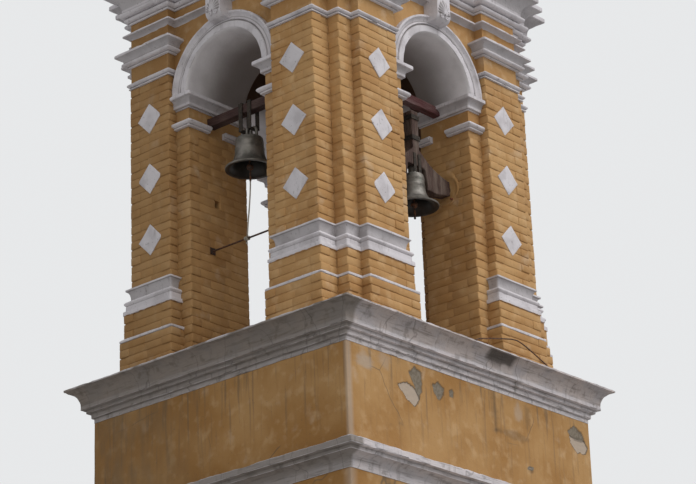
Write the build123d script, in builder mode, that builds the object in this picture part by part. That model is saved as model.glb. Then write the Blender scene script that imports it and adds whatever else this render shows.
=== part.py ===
from build123d import *
import os
from math import cos, radians, sin, sqrt, tan

os.makedirs("parts", exist_ok=True)

# Millimetres, Z up. The origin is at ground level, under the middle of the square shaft.
# The front is the -Y side. Sides are named as seen from the front: left is -X, right is +X.

# Shaft
shaft_height = 8000
shaft_width_x = 3080
shaft_width_y = 2770
shaft_wall = 600
floor_thickness = 200

# Belfry storey, set back from the faces of the shaft and a little to the left on it. It is wider
# than it is deep, round a square room. On each face a strip of plain wall lies between the opening
# and its pilasters. The corners of the two side faces lie deeper than this strip.
belfry_width = 2640
belfry_depth = 2340
belfry_shift_x = -22
room_width = 1270
side_corner_depth = 105
belfry_height = 3600
opening_width = 890
strip_width = 157
pilaster_projection = 85
pilaster_width = 452

# Mouldings, as rows from the bottom up: shape, projection from the wall, height of the row.
# A hollow curves through a point at these shares of its width and height, and a round bulges
# by this share of its height.
hollow_share = (0.26, 0.62)
round_share = 0.42
main_cornice_rows = [
    ("flat", 12, 40),
    ("flat", 32, 43),
    ("flat", 62, 30),
    ("flat", 96, 37),
    ("hollow", 178, 120),
    ("flat", 195, 25),
]
string_course_rows = [
    ("flat", 14, 54),
    ("hollow", 84, 57),
    ("flat", 98, 32),
    ("flat", 140, 62),
]
pilaster_base_rows = [
    ("flat", 72, 349),
    ("flat", 82, 25),
    ("flat", 46, 214),
    ("flat", 62, 40),
    ("flat", 44, 45),
    ("round", 58, 45),
    ("flat", 14, 12),
    ("hollow", 38, 76),
    ("flat", 48, 19),
]
necking_rows = [("flat", 22, 12), ("flat", 8, 8), ("round", 36, 36)]
capital_rows = [
    ("flat", 24, 14),
    ("round", 66, 36),
    ("hollow", 96, 50),
    ("flat", 108, 24),
]
band_rows = [("hollow", 50, 34), ("flat", 60, 16)]
top_cornice_rows = [
    ("flat", 16, 20),
    ("round", 50, 46),
    ("round", 88, 50),
    ("flat", 62, 24),
    ("hollow", 165, 120),
    ("flat", 182, 40),
]
impost_rows = [("flat", 14, 12), ("flat", 34, 20), ("hollow", 66, 50), ("flat", 84, 34)]
astragal_rows = [("flat", 38, 16), ("round", 64, 44)]

# Plain wall between one moulding and the next
top_frieze_height = 105
frieze_height = 141
neck_height = 150
impost_frieze_height = 123
string_course_drop = 1100

# Where the astragals are broken off, as depths from the face of the wall
astragal_gap = (220, 400)

# Arch trim, which stays clear of the pilasters beside it and of the band above it
archivolt_side_gap = 3
archivolt_top_gap = 91
archivolt_projection = 56
archivolt_inner_projection = 44
archivolt_groove = 22
archivolt_groove_projection = 24
keystone_width = 170
keystone_projection = 150
keystone_foot_rise = 85
keystone_foot_round = 60
length_tolerance = 1

# White lozenges on the pilasters
lozenge_height = 280
lozenge_side_margin = 88
lozenge_foot_margin = 248
lozenge_head_margin = 203
lozenge_thickness = 12
lozenge_count = 3

# Roof
roof_slab_overhang = 70
roof_slab_thickness = 120
dome_setback = 170
dome_thickness = 150
dome_drum_height = 260
dome_drum_ledge = 60
dome_drum_lip = 40
roof_eye_radius = 620
finial_height = 420
finial_radius = 190
finial_neck = 45
finial_ball = 80
finial_plinth = 90
finial_step = 50
cross_height = 720
cross_arm = 400
cross_bar = 36

# Timber beams, set into pockets in the jambs
beam_pocket = 100
bell_beam_width = 90
bell_beam_height = 85
bell_beam_drop = 237
bell_beam_depth = 265
upper_beam_width = 85
upper_beam_height = 85
upper_beam_drop = 87
upper_beam_depth = 322

# Fixed bell in the left opening
fixed_bell_radius = 213
fixed_bell_beam_gap = 133
fixed_bell_body = 290
fixed_bell_shoulder = 117
canon_length_y = 170
canon_width = 72
canon_height = 95
canon_slot_height = 22
canon_slot_cover = 25
canon_slot_play = 3
strap_spacing = 100
strap_width = 40
strap_thickness = 8

# Swinging bell in the front opening. Its crown stands a little over the axle.
axle_depth = 280
swing_bell_radius = 212
swing_crown_rise = 22
swing_bell_body = 300
swing_bell_shoulder = 92
bell_wall = 16
bell_lip_wall = 34
bell_lip_edge = 14
bell_waist_flare = 7
bell_crown = 20
bell_shoulder_round = 24
bell_waist_share = 0.58
bell_flare_share = (0.28, 0.24)
bell_flare_share_inside = (0.26, 0.22)
swing_canon_half = 40
headstock_thickness = 105
headstock_end_gap = 11
headstock_end_height = 130
headstock_end_drop = 60
headstock_hollow = (190, 148)
headstock_belly = (260, -98)
headstock_notch_slope = 26
headstock_notch_clearance = 46
headstock_notch_top = 90
trunk_half_width = 45
trunk_top = 605
trunk_clearance = 95
trunk_foot = 250
arm_foot_drop = 92
pin_radius = 18
pin_in_headstock = 110
pin_in_bearing = 60
bearing_radius = 45
bearing_length = 70
running_clearance = 0.05
head_strap_width = 34
head_strap_thickness = 6
head_strap_height = 170
head_strap_spacing = 60
head_strap_lap = 10
collar_height = 40
collar_heights = (330, 520)

# Clappers
clapper_rod_radius = 9
clapper_ball_radius = 30
clapper_tail = 102
clapper_ball_height = 26

# Rope of the fixed bell and the guard rod that it is tied to. Each bend takes up this share
# of the shorter of its two runs.
rope_radius = 6
rope_bend_share = 0.45
rope_top_gap = 0.2
rope_foot_gap = 1
rope_foot_side = 42
rope_course = [
    (0, 0, 0),
    (0.13, 0.05, 0.169),
    (0.5, 0.21, 0.358),
    (0.63, 0.45, 0.555),
    (1, 0.74, 0.756),
    (1, 1, 1),
]
guard_rod_radius = 8
guard_rod_height = 1092
guard_rod_depth = 257
guard_plate_width = 60
guard_plate_thickness = 8

# Putlog hole left in the far jamb of the left opening
putlog_width = 70
putlog_depth = 150
putlog_height = 1535
putlog_from_face = 325


def moulding_height(rows):
    """Height of a moulding, over all of its rows."""
    return sum(row[2] for row in rows)


# Plan sizes worked out from the ones above
shaft_half_x = shaft_width_x / 2
shaft_half_y = shaft_width_y / 2
room_half = room_width / 2
opening_half = opening_width / 2
pilaster_inner = opening_half + strip_width
pilaster_outer = pilaster_inner + pilaster_width
pilaster_middle = pilaster_inner + pilaster_width / 2
archivolt_width = strip_width - archivolt_side_gap
archivolt_radius = opening_half + archivolt_width
lozenge_width = pilaster_width - 2 * lozenge_side_margin
dome_radius = belfry_depth / 2 - dome_setback
dome_drum_radius = dome_radius + dome_drum_ledge

# Heights worked out from the ones above, over the belfry floor and each at the underside
top_cornice_height = belfry_height - moulding_height(top_cornice_rows)
band_height = top_cornice_height - top_frieze_height - moulding_height(band_rows)
capital_height = band_height - frieze_height - moulding_height(capital_rows)
necking_height = capital_height - neck_height - moulding_height(necking_rows)
springing_height = band_height - archivolt_top_gap - archivolt_radius
impost_height = springing_height - moulding_height(impost_rows)
astragal_height = impost_height - impost_frieze_height - moulding_height(astragal_rows)
keystone_foot_height = springing_height + opening_half + keystone_foot_rise
keystone_height = top_cornice_height - keystone_foot_height
lozenge_foot = moulding_height(pilaster_base_rows) + lozenge_foot_margin
lozenge_head = necking_height - lozenge_head_margin
lozenge_pitch = (lozenge_head - lozenge_foot - lozenge_height) / (lozenge_count - 1)
bell_beam_foot = springing_height - bell_beam_drop
upper_beam_foot = springing_height - upper_beam_drop
fixed_bell_crown = bell_beam_foot - fixed_bell_beam_gap - canon_height
fixed_bell_lip_height = fixed_bell_crown - fixed_bell_body
axle_height = upper_beam_foot - trunk_clearance - trunk_top
swing_bell_crown = axle_height + swing_crown_rise
swing_bell_lip_height = swing_bell_crown - swing_bell_body

# Distances of the beams' inner faces and of the axle from the middle of the belfry
bell_beam_back = belfry_width / 2 - bell_beam_depth - bell_beam_width / 2
upper_beam_back = belfry_depth / 2 - upper_beam_depth - upper_beam_width / 2
axle_y = axle_depth - belfry_depth / 2

# Levels over the ground
wall_top = shaft_height - floor_thickness
roof_level = shaft_height + belfry_height

# Turns of the sides, their walls' distances from the middle and the depths of their corners
side_turns = {"front": 0, "right": 90, "back": 180, "left": 270}
wall_distance = {
    "front": belfry_depth / 2,
    "right": belfry_width / 2,
    "back": belfry_depth / 2,
    "left": belfry_width / 2,
}
corner_depth = {"front": 0, "right": side_corner_depth, "back": 0, "left": side_corner_depth}
corner_sides = {
    "front_left": ("front", "left"),
    "front_right": ("right", "front"),
    "back_right": ("back", "right"),
    "back_left": ("left", "back"),
}


def belfry_plan(turn, level):
    """Plan of the belfry, turned so that its own front is the chosen side."""
    return Plane(
        origin=(belfry_shift_x, 0, level),
        x_dir=(cos(radians(turn)), sin(radians(turn)), 0),
        z_dir=(0, 0, 1),
    )


def belfry_face(turn, distance, level=0):
    """Upright plane beside the belfry: x to the right, y up from a level over the floor, z outward."""
    outward = Vector(sin(radians(turn)), -cos(radians(turn)), 0)
    return Plane(
        origin=Vector(belfry_shift_x, 0, shaft_height + level) + outward * distance,
        x_dir=(cos(radians(turn)), sin(radians(turn)), 0),
        z_dir=outward,
    )


def run_moulding(rows, plan, corners, closed=False):
    """Sweep a moulding along corners in a plan. The wall lies to the left of the way it runs."""
    with BuildLine(plan) as run:
        Polyline(*corners, close=closed)
    ahead = (run.wire() % 0).normalized()
    outward = ahead.cross(Vector(0, 0, 1))
    level = 0
    reach = 0
    with BuildSketch(Plane(origin=run.wire() @ 0, x_dir=outward, z_dir=ahead * -1)) as profile:
        with BuildLine():
            for shape, projection, height in rows:
                if shape == "flat":
                    Polyline((reach, level), (projection, level), (projection, level + height))
                    reach = projection
                if shape == "hollow":
                    across = reach + hollow_share[0] * (projection - reach)
                    middle = (across, level + hollow_share[1] * height)
                    ThreePointArc((reach, level), middle, (projection, level + height))
                    reach = projection
                if shape == "round":
                    back = projection - round_share * height
                    if back != reach:
                        Line((reach, level), (back, level))
                    belly = (projection, level + height / 2)
                    ThreePointArc((back, level), belly, (back, level + height))
                    reach = back
                level = level + height
            Polyline((reach, level), (0, level), (0, 0))
        make_face()
    sweep(sections=profile.sketch, path=run.wire(), transition=Transition.RIGHT)


def ring_corners(half_x, half_y):
    """Corners of a rectangle, from the middle of its front side and round it to the right."""
    return [(0, -half_y), (half_x, -half_y), (half_x, half_y), (-half_x, half_y), (-half_x, -half_y)]


def pier_leg(start, side):
    """Corners along one side of a pier, from the strip at its corner to a point by the opening."""
    wall = wall_distance[side]
    strip = wall - corner_depth[side]
    face = wall + pilaster_projection
    leg = [(-pilaster_outer, -strip), (-pilaster_outer, -face), (-pilaster_inner, -face)]
    leg = leg + [(-pilaster_inner, -wall)]
    if start < pilaster_inner:
        leg = leg + [(-start, -wall)]
    return leg


def pier_corners(start, sides):
    """Corners round the outside of a pier, seen with the first of its sides in front."""
    ahead, beside = sides
    corner = (
        corner_depth[beside] - wall_distance[beside],
        corner_depth[ahead] - wall_distance[ahead],
    )
    mirrored = [(y, x) for x, y in reversed(pier_leg(start, beside))]
    return mirrored + [corner] + pier_leg(start, ahead)


def jamb_corners(side):
    """Corners along the strip of wall left of an opening and through its jamb."""
    wall = wall_distance[side]
    return [(-pilaster_inner, -wall), (-opening_half, -wall), (-opening_half, -room_half)]


def finish(piece, name):
    """Name a piece and write its file."""
    piece.part.label = name
    export_step(piece.part, "parts/" + name + ".step")


# Shaft walls: the front and back run over the full width, the side walls fit between them
shaft_wall_plans = {
    "front": ((0, -shaft_half_y + shaft_wall / 2), (shaft_width_x, shaft_wall)),
    "back": ((0, shaft_half_y - shaft_wall / 2), (shaft_width_x, shaft_wall)),
    "left": ((-shaft_half_x + shaft_wall / 2, 0), (shaft_wall, shaft_width_y - 2 * shaft_wall)),
    "right": ((shaft_half_x - shaft_wall / 2, 0), (shaft_wall, shaft_width_y - 2 * shaft_wall)),
}
for side, (middle, size) in shaft_wall_plans.items():
    with BuildPart() as shaft_wall_piece:
        with BuildSketch():
            with Locations(middle):
                Rectangle(*size)
        extrude(amount=wall_top)
    finish(shaft_wall_piece, "shaft_wall_" + side)

# Belfry floor, a slab over the whole shaft
with BuildPart() as belfry_floor:
    with BuildSketch(Plane.XY.offset(wall_top)):
        Rectangle(shaft_width_x, shaft_width_y)
    extrude(amount=floor_thickness)
finish(belfry_floor, "belfry_floor")

# String course round the shaft, below the cornice
with BuildPart() as string_course:
    run_moulding(
        string_course_rows,
        Plane.XY.offset(shaft_height - string_course_drop - moulding_height(string_course_rows)),
        ring_corners(shaft_half_x, shaft_half_y),
        closed=True,
    )
finish(string_course, "string_course")

# Main cornice at the top of the shaft
with BuildPart() as main_cornice:
    run_moulding(
        main_cornice_rows,
        Plane.XY.offset(shaft_height - moulding_height(main_cornice_rows)),
        ring_corners(shaft_half_x, shaft_half_y),
        closed=True,
    )
finish(main_cornice, "main_cornice")

# Corner piers: an L of wall with a pilaster on each outer face
for corner, sides in corner_sides.items():
    ahead, beside = sides
    with BuildPart() as pier:
        with BuildSketch(belfry_plan(side_turns[ahead], shaft_height)):
            with BuildLine():
                Polyline(
                    *pier_corners(pilaster_inner, sides),
                    (-opening_half, -wall_distance[ahead]),
                    (-opening_half, -room_half),
                    (-room_half, -room_half),
                    (-room_half, -opening_half),
                    (-wall_distance[beside], -opening_half),
                    close=True,
                )
            make_face()
        extrude(amount=belfry_height)
        if corner in ("front_left", "front_right"):
            # Pockets for the beam over the swinging bell, and the seats of its two bearings
            beam_middle = upper_beam_foot + upper_beam_height / 2
            with BuildSketch(belfry_face(0, upper_beam_back)):
                with Locations((0, beam_middle)):
                    Rectangle(opening_width + 2 * beam_pocket, upper_beam_height)
            extrude(amount=upper_beam_width, mode=Mode.SUBTRACT)
            with BuildSketch(belfry_face(90, -opening_half - bearing_length)):
                with Locations((axle_y, axle_height)):
                    Circle(bearing_radius)
            extrude(amount=opening_width + 2 * bearing_length, mode=Mode.SUBTRACT)
        if corner in ("front_left", "back_left"):
            # Pockets for the beam of the fixed bell
            beam_middle = bell_beam_foot + bell_beam_height / 2
            with BuildSketch(belfry_face(270, bell_beam_back)):
                with Locations((0, beam_middle)):
                    Rectangle(opening_width + 2 * beam_pocket, bell_beam_height)
            extrude(amount=bell_beam_width, mode=Mode.SUBTRACT)
        if corner == "back_left":
            # Putlog hole in the jamb
            with BuildSketch(belfry_face(0, -opening_half - putlog_depth)):
                with Locations((putlog_from_face - wall_distance["left"], putlog_height)):
                    Rectangle(putlog_width, putlog_width)
            extrude(amount=putlog_depth, mode=Mode.SUBTRACT)
    finish(pier, "pier_" + corner)

# Walls over the openings, each cut to a round arch
for side, turn in side_turns.items():
    with BuildPart() as arch_wall:
        with BuildSketch(belfry_face(turn, room_half)):
            with BuildLine():
                Line((-opening_half, springing_height), (-opening_half, belfry_height))
                Line((-opening_half, belfry_height), (opening_half, belfry_height))
                Line((opening_half, belfry_height), (opening_half, springing_height))
                CenterArc((0, springing_height), opening_half, 0, 180)
            make_face()
        extrude(amount=wall_distance[side] - room_half)
    finish(arch_wall, "arch_wall_" + side)

# Archivolts: an outer and an inner ring with a groove between them, cut back for the keystones
ring_width = (archivolt_width - archivolt_groove) / 2
inner_ring_edge = opening_half + ring_width
outer_ring_edge = archivolt_radius - ring_width
with BuildPart() as archivolts:
    for side, turn in side_turns.items():
        wall = wall_distance[side]
        outward = belfry_face(turn, wall).z_dir
        arch_centre = Vector(belfry_shift_x, 0, shaft_height + springing_height)
        with BuildSketch(belfry_plan(turn, shaft_height + springing_height)):
            with BuildLine():
                Polyline(
                    (opening_half, -wall),
                    (opening_half, -wall - archivolt_inner_projection),
                    (inner_ring_edge, -wall - archivolt_inner_projection),
                    (inner_ring_edge, -wall - archivolt_groove_projection),
                    (outer_ring_edge, -wall - archivolt_groove_projection),
                    (outer_ring_edge, -wall - archivolt_projection),
                    (archivolt_radius, -wall - archivolt_projection),
                    (archivolt_radius, -wall),
                    close=True,
                )
            make_face()
        revolve(axis=Axis(arch_centre, outward), revolution_arc=180)
    for side, turn in side_turns.items():
        with BuildSketch(belfry_face(turn, wall_distance[side])):
            with Locations((0, keystone_foot_height)):
                Rectangle(keystone_width, keystone_height, align=(Align.CENTER, Align.MIN))
        extrude(amount=keystone_projection, mode=Mode.SUBTRACT)
finish(archivolts, "archivolts")

# Keystones, from the archivolt up to the top cornice, with a rounded foot
with BuildPart() as keystones:
    for side, turn in side_turns.items():
        with BuildSketch(belfry_face(turn, wall_distance[side])):
            with Locations((0, keystone_foot_height)):
                Rectangle(keystone_width, keystone_height, align=(Align.CENTER, Align.MIN))
        extrude(amount=keystone_projection)
    feet = keystones.edges().group_by(Axis.Z)[0]
    outer_feet = []
    for side, turn in side_turns.items():
        front_plane = belfry_face(turn, wall_distance[side] + keystone_projection)
        outer_feet += feet.filter_by(
            lambda edge: abs(front_plane.to_local_coords(edge.center()).Z) < length_tolerance
        )
    fillet(outer_feet, keystone_foot_round)
finish(keystones, "keystones")

# Bases, neckings and capitals of the pilasters, run round each corner of the belfry
for corner, sides in corner_sides.items():
    with BuildPart() as pier_base:
        plan = belfry_plan(side_turns[sides[0]], shaft_height)
        run_moulding(pilaster_base_rows, plan, pier_corners(pilaster_inner, sides))
    finish(pier_base, "pier_base_" + corner)

with BuildPart() as neckings:
    for sides in corner_sides.values():
        plan = belfry_plan(side_turns[sides[0]], shaft_height + necking_height)
        run_moulding(necking_rows, plan, pier_corners(pilaster_inner, sides))
finish(neckings, "neckings")

with BuildPart() as capitals:
    for sides in corner_sides.values():
        plan = belfry_plan(side_turns[sides[0]], shaft_height + capital_height)
        run_moulding(capital_rows, plan, pier_corners(pilaster_inner, sides))
finish(capitals, "capitals")

# Band above the capitals, from keystone to keystone
with BuildPart() as frieze_band:
    for sides in corner_sides.values():
        plan = belfry_plan(side_turns[sides[0]], shaft_height + band_height)
        run_moulding(band_rows, plan, pier_corners(keystone_width / 2, sides))
finish(frieze_band, "frieze_band")

# Top cornice, which breaks forward over every pilaster
with BuildPart() as top_cornice:
    for sides in corner_sides.values():
        plan = belfry_plan(side_turns[sides[0]], shaft_height + top_cornice_height)
        run_moulding(top_cornice_rows, plan, pier_corners(0, sides))
finish(top_cornice, "top_cornice")

# Imposts, along the strip of wall beside each opening and through the jamb
with BuildPart() as imposts:
    for side, turn in side_turns.items():
        plan = belfry_plan(turn, shaft_height + impost_height)
        run_moulding(impost_rows, plan, jamb_corners(side))
        run_moulding(impost_rows, plan, [(-x, y) for x, y in reversed(jamb_corners(side))])
    # The beam over the swinging bell passes through the imposts of the front opening
    with BuildSketch(belfry_face(0, upper_beam_back)):
        with Locations((0, upper_beam_foot)):
            Rectangle(opening_width, upper_beam_height, align=(Align.CENTER, Align.MIN))
    extrude(amount=upper_beam_width, mode=Mode.SUBTRACT)
finish(imposts, "imposts")

# Small astragals below the imposts, broken off at the beams in the front and left openings
with BuildPart() as astragals:
    for side, turn in side_turns.items():
        plan = belfry_plan(turn, shaft_height + astragal_height)
        run_moulding(astragal_rows, plan, jamb_corners(side))
        run_moulding(astragal_rows, plan, [(-x, y) for x, y in reversed(jamb_corners(side))])
    for side in ("front", "left"):
        with BuildSketch(belfry_face(side_turns[side], wall_distance[side] - astragal_gap[1])):
            with Locations((0, astragal_height)):
                Rectangle(opening_width, moulding_height(astragal_rows), align=(Align.CENTER, Align.MIN))
        extrude(amount=astragal_gap[1] - astragal_gap[0], mode=Mode.SUBTRACT)
finish(astragals, "astragals")

# White lozenges on the faces of the pilasters
with BuildPart() as lozenges:
    for side, turn in side_turns.items():
        with BuildSketch(belfry_face(turn, wall_distance[side] + pilaster_projection)):
            for across in (-pilaster_middle, pilaster_middle):
                for index in range(lozenge_count):
                    with Locations((across, lozenge_foot + lozenge_pitch * index)):
                        Polygon(
                            (0, 0),
                            (lozenge_width / 2, lozenge_height / 2),
                            (0, lozenge_height),
                            (-lozenge_width / 2, lozenge_height / 2),
                            align=None,
                        )
        extrude(amount=lozenge_thickness)
finish(lozenges, "lozenges")

# Roof slab with a round eye under the dome
with BuildPart() as roof_slab:
    with BuildSketch(belfry_plan(0, roof_level)):
        Rectangle(belfry_width + 2 * roof_slab_overhang, belfry_depth + 2 * roof_slab_overhang)
        Circle(roof_eye_radius, mode=Mode.SUBTRACT)
    extrude(amount=roof_slab_thickness)
finish(roof_slab, "roof_slab")

# Dome on a low drum, turned about the middle of the belfry
dome_foot = roof_level + roof_slab_thickness
dome_inside = dome_radius - dome_thickness
belfry_axis = Axis((belfry_shift_x, 0, 0), (0, 0, 1))
with BuildPart() as dome:
    with BuildSketch(Plane((belfry_shift_x, 0, dome_foot), (1, 0, 0), (0, -1, 0))):
        with BuildLine():
            Polyline(
                (dome_inside, dome_drum_height),
                (dome_inside, 0),
                (dome_drum_radius, 0),
                (dome_drum_radius, dome_drum_height - dome_drum_lip),
                (dome_drum_radius + dome_drum_lip, dome_drum_height - dome_drum_lip),
                (dome_drum_radius + dome_drum_lip, dome_drum_height),
                (dome_radius, dome_drum_height),
            )
            RadiusArc((dome_radius, dome_drum_height), (0, dome_drum_height + dome_radius), -dome_radius)
            Line((0, dome_drum_height + dome_radius), (0, dome_drum_height + dome_inside))
            RadiusArc((0, dome_drum_height + dome_inside), (dome_inside, dome_drum_height), dome_inside)
        make_face()
    revolve(axis=belfry_axis)
finish(dome, "dome")

# Finial: a turned pedestal that sits on the crown of the dome
dome_crown = dome_foot + dome_drum_height + dome_radius
finial_seat = sqrt(dome_radius**2 - finial_radius**2) - dome_radius
with BuildPart() as finial:
    with BuildSketch(Plane((belfry_shift_x, 0, dome_crown), (1, 0, 0), (0, -1, 0))):
        with BuildLine():
            RadiusArc((finial_radius, finial_seat), (0, 0), -dome_radius)
            Polyline(
                (0, 0),
                (0, finial_height),
                (finial_neck, finial_height),
                (finial_neck, finial_height - finial_ball),
            )
            ThreePointArc(
                (finial_neck, finial_height - finial_ball),
                (finial_ball, finial_height - 2 * finial_ball),
                (finial_neck, finial_height - 3 * finial_ball),
            )
            Polyline(
                (finial_neck, finial_height - 3 * finial_ball),
                (finial_radius - finial_step, finial_plinth),
                (finial_radius, finial_plinth),
                (finial_radius, finial_seat),
            )
        make_face()
    revolve(axis=belfry_axis)
finish(finial, "dome_finial")

# Iron cross on the finial
cross_foot = dome_crown + finial_height
with BuildPart() as cross:
    with BuildSketch(Plane((belfry_shift_x, 0, cross_foot), (1, 0, 0), (0, -1, 0))):
        Rectangle(cross_bar, cross_height, align=(Align.CENTER, Align.MIN))
        with Locations((0, cross_height - cross_arm / 2)):
            Rectangle(cross_arm, cross_bar)
    extrude(amount=cross_bar / 2, both=True)
finish(cross, "roof_cross")


def cast_bell(radius, body, shoulder, axis_point):
    """A cast bell, open below, turned about an upright axis through the middle of its mouth."""
    waist = shoulder + bell_waist_flare
    flare = radius - waist
    waist_height = bell_waist_share * body
    crown = body - bell_crown
    with BuildSketch(Plane(axis_point, (1, 0, 0), (0, -1, 0))) as section:
        with BuildLine():
            Line((radius, 0), (radius, bell_lip_edge))
            ThreePointArc(
                (radius, bell_lip_edge),
                (waist + bell_flare_share[0] * flare, bell_flare_share[1] * body),
                (waist, waist_height),
            )
            Line((waist, waist_height), (shoulder, body - bell_shoulder_round))
            RadiusArc(
                (shoulder, body - bell_shoulder_round),
                (shoulder - bell_shoulder_round, body),
                -bell_shoulder_round,
            )
            Polyline(
                (shoulder - bell_shoulder_round, body),
                (0, body),
                (0, crown),
                (shoulder - bell_wall - bell_shoulder_round, crown),
                (shoulder - bell_wall, crown - bell_shoulder_round),
                (waist - bell_wall, waist_height),
            )
            ThreePointArc(
                (waist - bell_wall, waist_height),
                (
                    waist - bell_wall + bell_flare_share_inside[0] * flare,
                    bell_flare_share_inside[1] * body,
                ),
                (radius - bell_lip_wall, 0),
            )
            Line((radius - bell_lip_wall, 0), (radius, 0))
        make_face()
    revolve(section.sketch, axis=Axis(axis_point, (0, 0, 1)))


def hang_clapper(body, axis_point):
    """An iron clapper from the underside of the crown to a tail below the mouth."""
    foot = Plane(axis_point, (1, 0, 0), (0, 0, 1))
    with BuildSketch(foot.offset(-clapper_tail)) as rod:
        Circle(clapper_rod_radius)
    extrude(rod.sketch, amount=clapper_tail + body - bell_crown)
    with Locations(Vector(axis_point) + Vector(0, 0, clapper_ball_height)):
        Sphere(clapper_ball_radius)


# Fixed bell in the left opening, with the slotted block of its canons
fixed_axis = (belfry_shift_x - belfry_width / 2 + bell_beam_depth, 0, shaft_height + fixed_bell_lip_height)
slot_top = fixed_bell_crown + canon_height - canon_slot_cover
with BuildPart() as fixed_bell:
    cast_bell(fixed_bell_radius, fixed_bell_body, fixed_bell_shoulder, fixed_axis)
    crown_point = (fixed_axis[0], 0, shaft_height + fixed_bell_crown)
    with BuildSketch(Plane(crown_point, (1, 0, 0), (0, 0, 1))):
        Rectangle(canon_width, canon_length_y)
    extrude(amount=canon_height)
    with BuildSketch(belfry_face(270, belfry_width / 2 - bell_beam_depth - canon_width / 2)):
        for across in (-strap_spacing / 2, strap_spacing / 2):
            with Locations((across, slot_top)):
                Rectangle(
                    strap_width + 2 * canon_slot_play,
                    canon_slot_height,
                    align=(Align.CENTER, Align.MAX),
                )
    extrude(amount=canon_width, mode=Mode.SUBTRACT)
finish(fixed_bell, "fixed_bell")

with BuildPart() as fixed_bell_clapper:
    hang_clapper(fixed_bell_body, fixed_axis)
finish(fixed_bell_clapper, "fixed_bell_clapper")

# Beam of the fixed bell, from pocket to pocket
with BuildPart() as fixed_bell_beam:
    with BuildSketch(belfry_face(270, bell_beam_back)):
        with Locations((0, bell_beam_foot)):
            Rectangle(
                opening_width + 2 * beam_pocket, bell_beam_height, align=(Align.CENTER, Align.MIN)
            )
    extrude(amount=bell_beam_width)
finish(fixed_bell_beam, "fixed_bell_beam")

# Iron straps that loop over the beam and through the slots of the canons
strap_foot = slot_top - strap_thickness
strap_head = bell_beam_foot + bell_beam_height + strap_thickness
with BuildPart() as fixed_bell_straps:
    for across in (-strap_spacing / 2, strap_spacing / 2):
        strap_plane = Plane((fixed_axis[0], across - strap_width / 2, shaft_height), (-1, 0, 0), (0, 1, 0))
        with BuildSketch(strap_plane):
            with Locations((0, (strap_foot + strap_head) / 2)):
                Rectangle(bell_beam_width + 2 * strap_thickness, strap_head - strap_foot)
                Rectangle(
                    bell_beam_width,
                    strap_head - strap_foot - 2 * strap_thickness,
                    mode=Mode.SUBTRACT,
                )
        extrude(amount=strap_width)
finish(fixed_bell_straps, "fixed_bell_straps")

# Iron guard rod across the left opening, with a small plate on each jamb
rod_x = belfry_shift_x - belfry_width / 2 + guard_rod_depth
rod_z = shaft_height + guard_rod_height
with BuildPart() as guard_rod:
    with BuildSketch(Plane((rod_x, 0, rod_z), (1, 0, 0), (0, 1, 0))):
        Circle(guard_rod_radius)
    extrude(amount=opening_half, both=True)
    for jamb in (-1, 1):
        with BuildSketch(Plane((rod_x, jamb * opening_half, rod_z), (1, 0, 0), (0, -jamb, 0))):
            Rectangle(guard_plate_width, guard_plate_width)
        extrude(amount=guard_plate_thickness)
finish(guard_rod, "guard_rod")

# Rope from the tail of the clapper to the guard rod. Its course says how far each point has
# gone from the top towards the foot, in x, y and z.
rope_top = Vector(*fixed_axis) - Vector(0, 0, clapper_tail + rope_top_gap)
rope_foot = Vector(rod_x, rope_foot_side, rod_z + guard_rod_radius + rope_foot_gap)
rope_run = rope_foot - rope_top
rope_points = [
    rope_top + Vector(x * rope_run.X, y * rope_run.Y, z * rope_run.Z) for x, y, z in rope_course
]
runs = [end - start for start, end in zip(rope_points, rope_points[1:])]
rope_radii = []
for before, after in zip(runs, runs[1:]):
    turn = before.get_angle(after)
    shorter = min(before.length, after.length)
    rope_radii.append(rope_bend_share * shorter / tan(radians(turn / 2)))
print("rope radii", [round(radius) for radius in rope_radii])
with BuildPart() as bell_rope:
    with BuildLine() as rope_path:
        FilletPolyline(*rope_points, radius=rope_radii)
    rope_wire = rope_path.wire()
    with BuildSketch(Plane(origin=rope_wire @ 0, z_dir=rope_wire % 0)):
        Circle(rope_radius)
    sweep(path=rope_wire)
finish(bell_rope, "bell_rope")

# Swinging bell in the front opening. Its axle lies in the middle of the wall.
swing_axis = (belfry_shift_x, axle_y, shaft_height + swing_bell_lip_height)
notch_top = axle_height + headstock_notch_top
with BuildPart() as swing_bell:
    cast_bell(swing_bell_radius, swing_bell_body, swing_bell_shoulder, swing_axis)
    crown_point = (belfry_shift_x, axle_y, shaft_height + swing_bell_crown)
    with BuildSketch(Plane(crown_point, (1, 0, 0), (0, 0, 1))):
        Rectangle(2 * swing_canon_half, headstock_thickness)
    extrude(amount=notch_top - swing_bell_crown)
finish(swing_bell, "swing_bell")

with BuildPart() as swing_bell_clapper:
    hang_clapper(swing_bell_body, swing_axis)
finish(swing_bell_clapper, "swing_bell_clapper")

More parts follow.
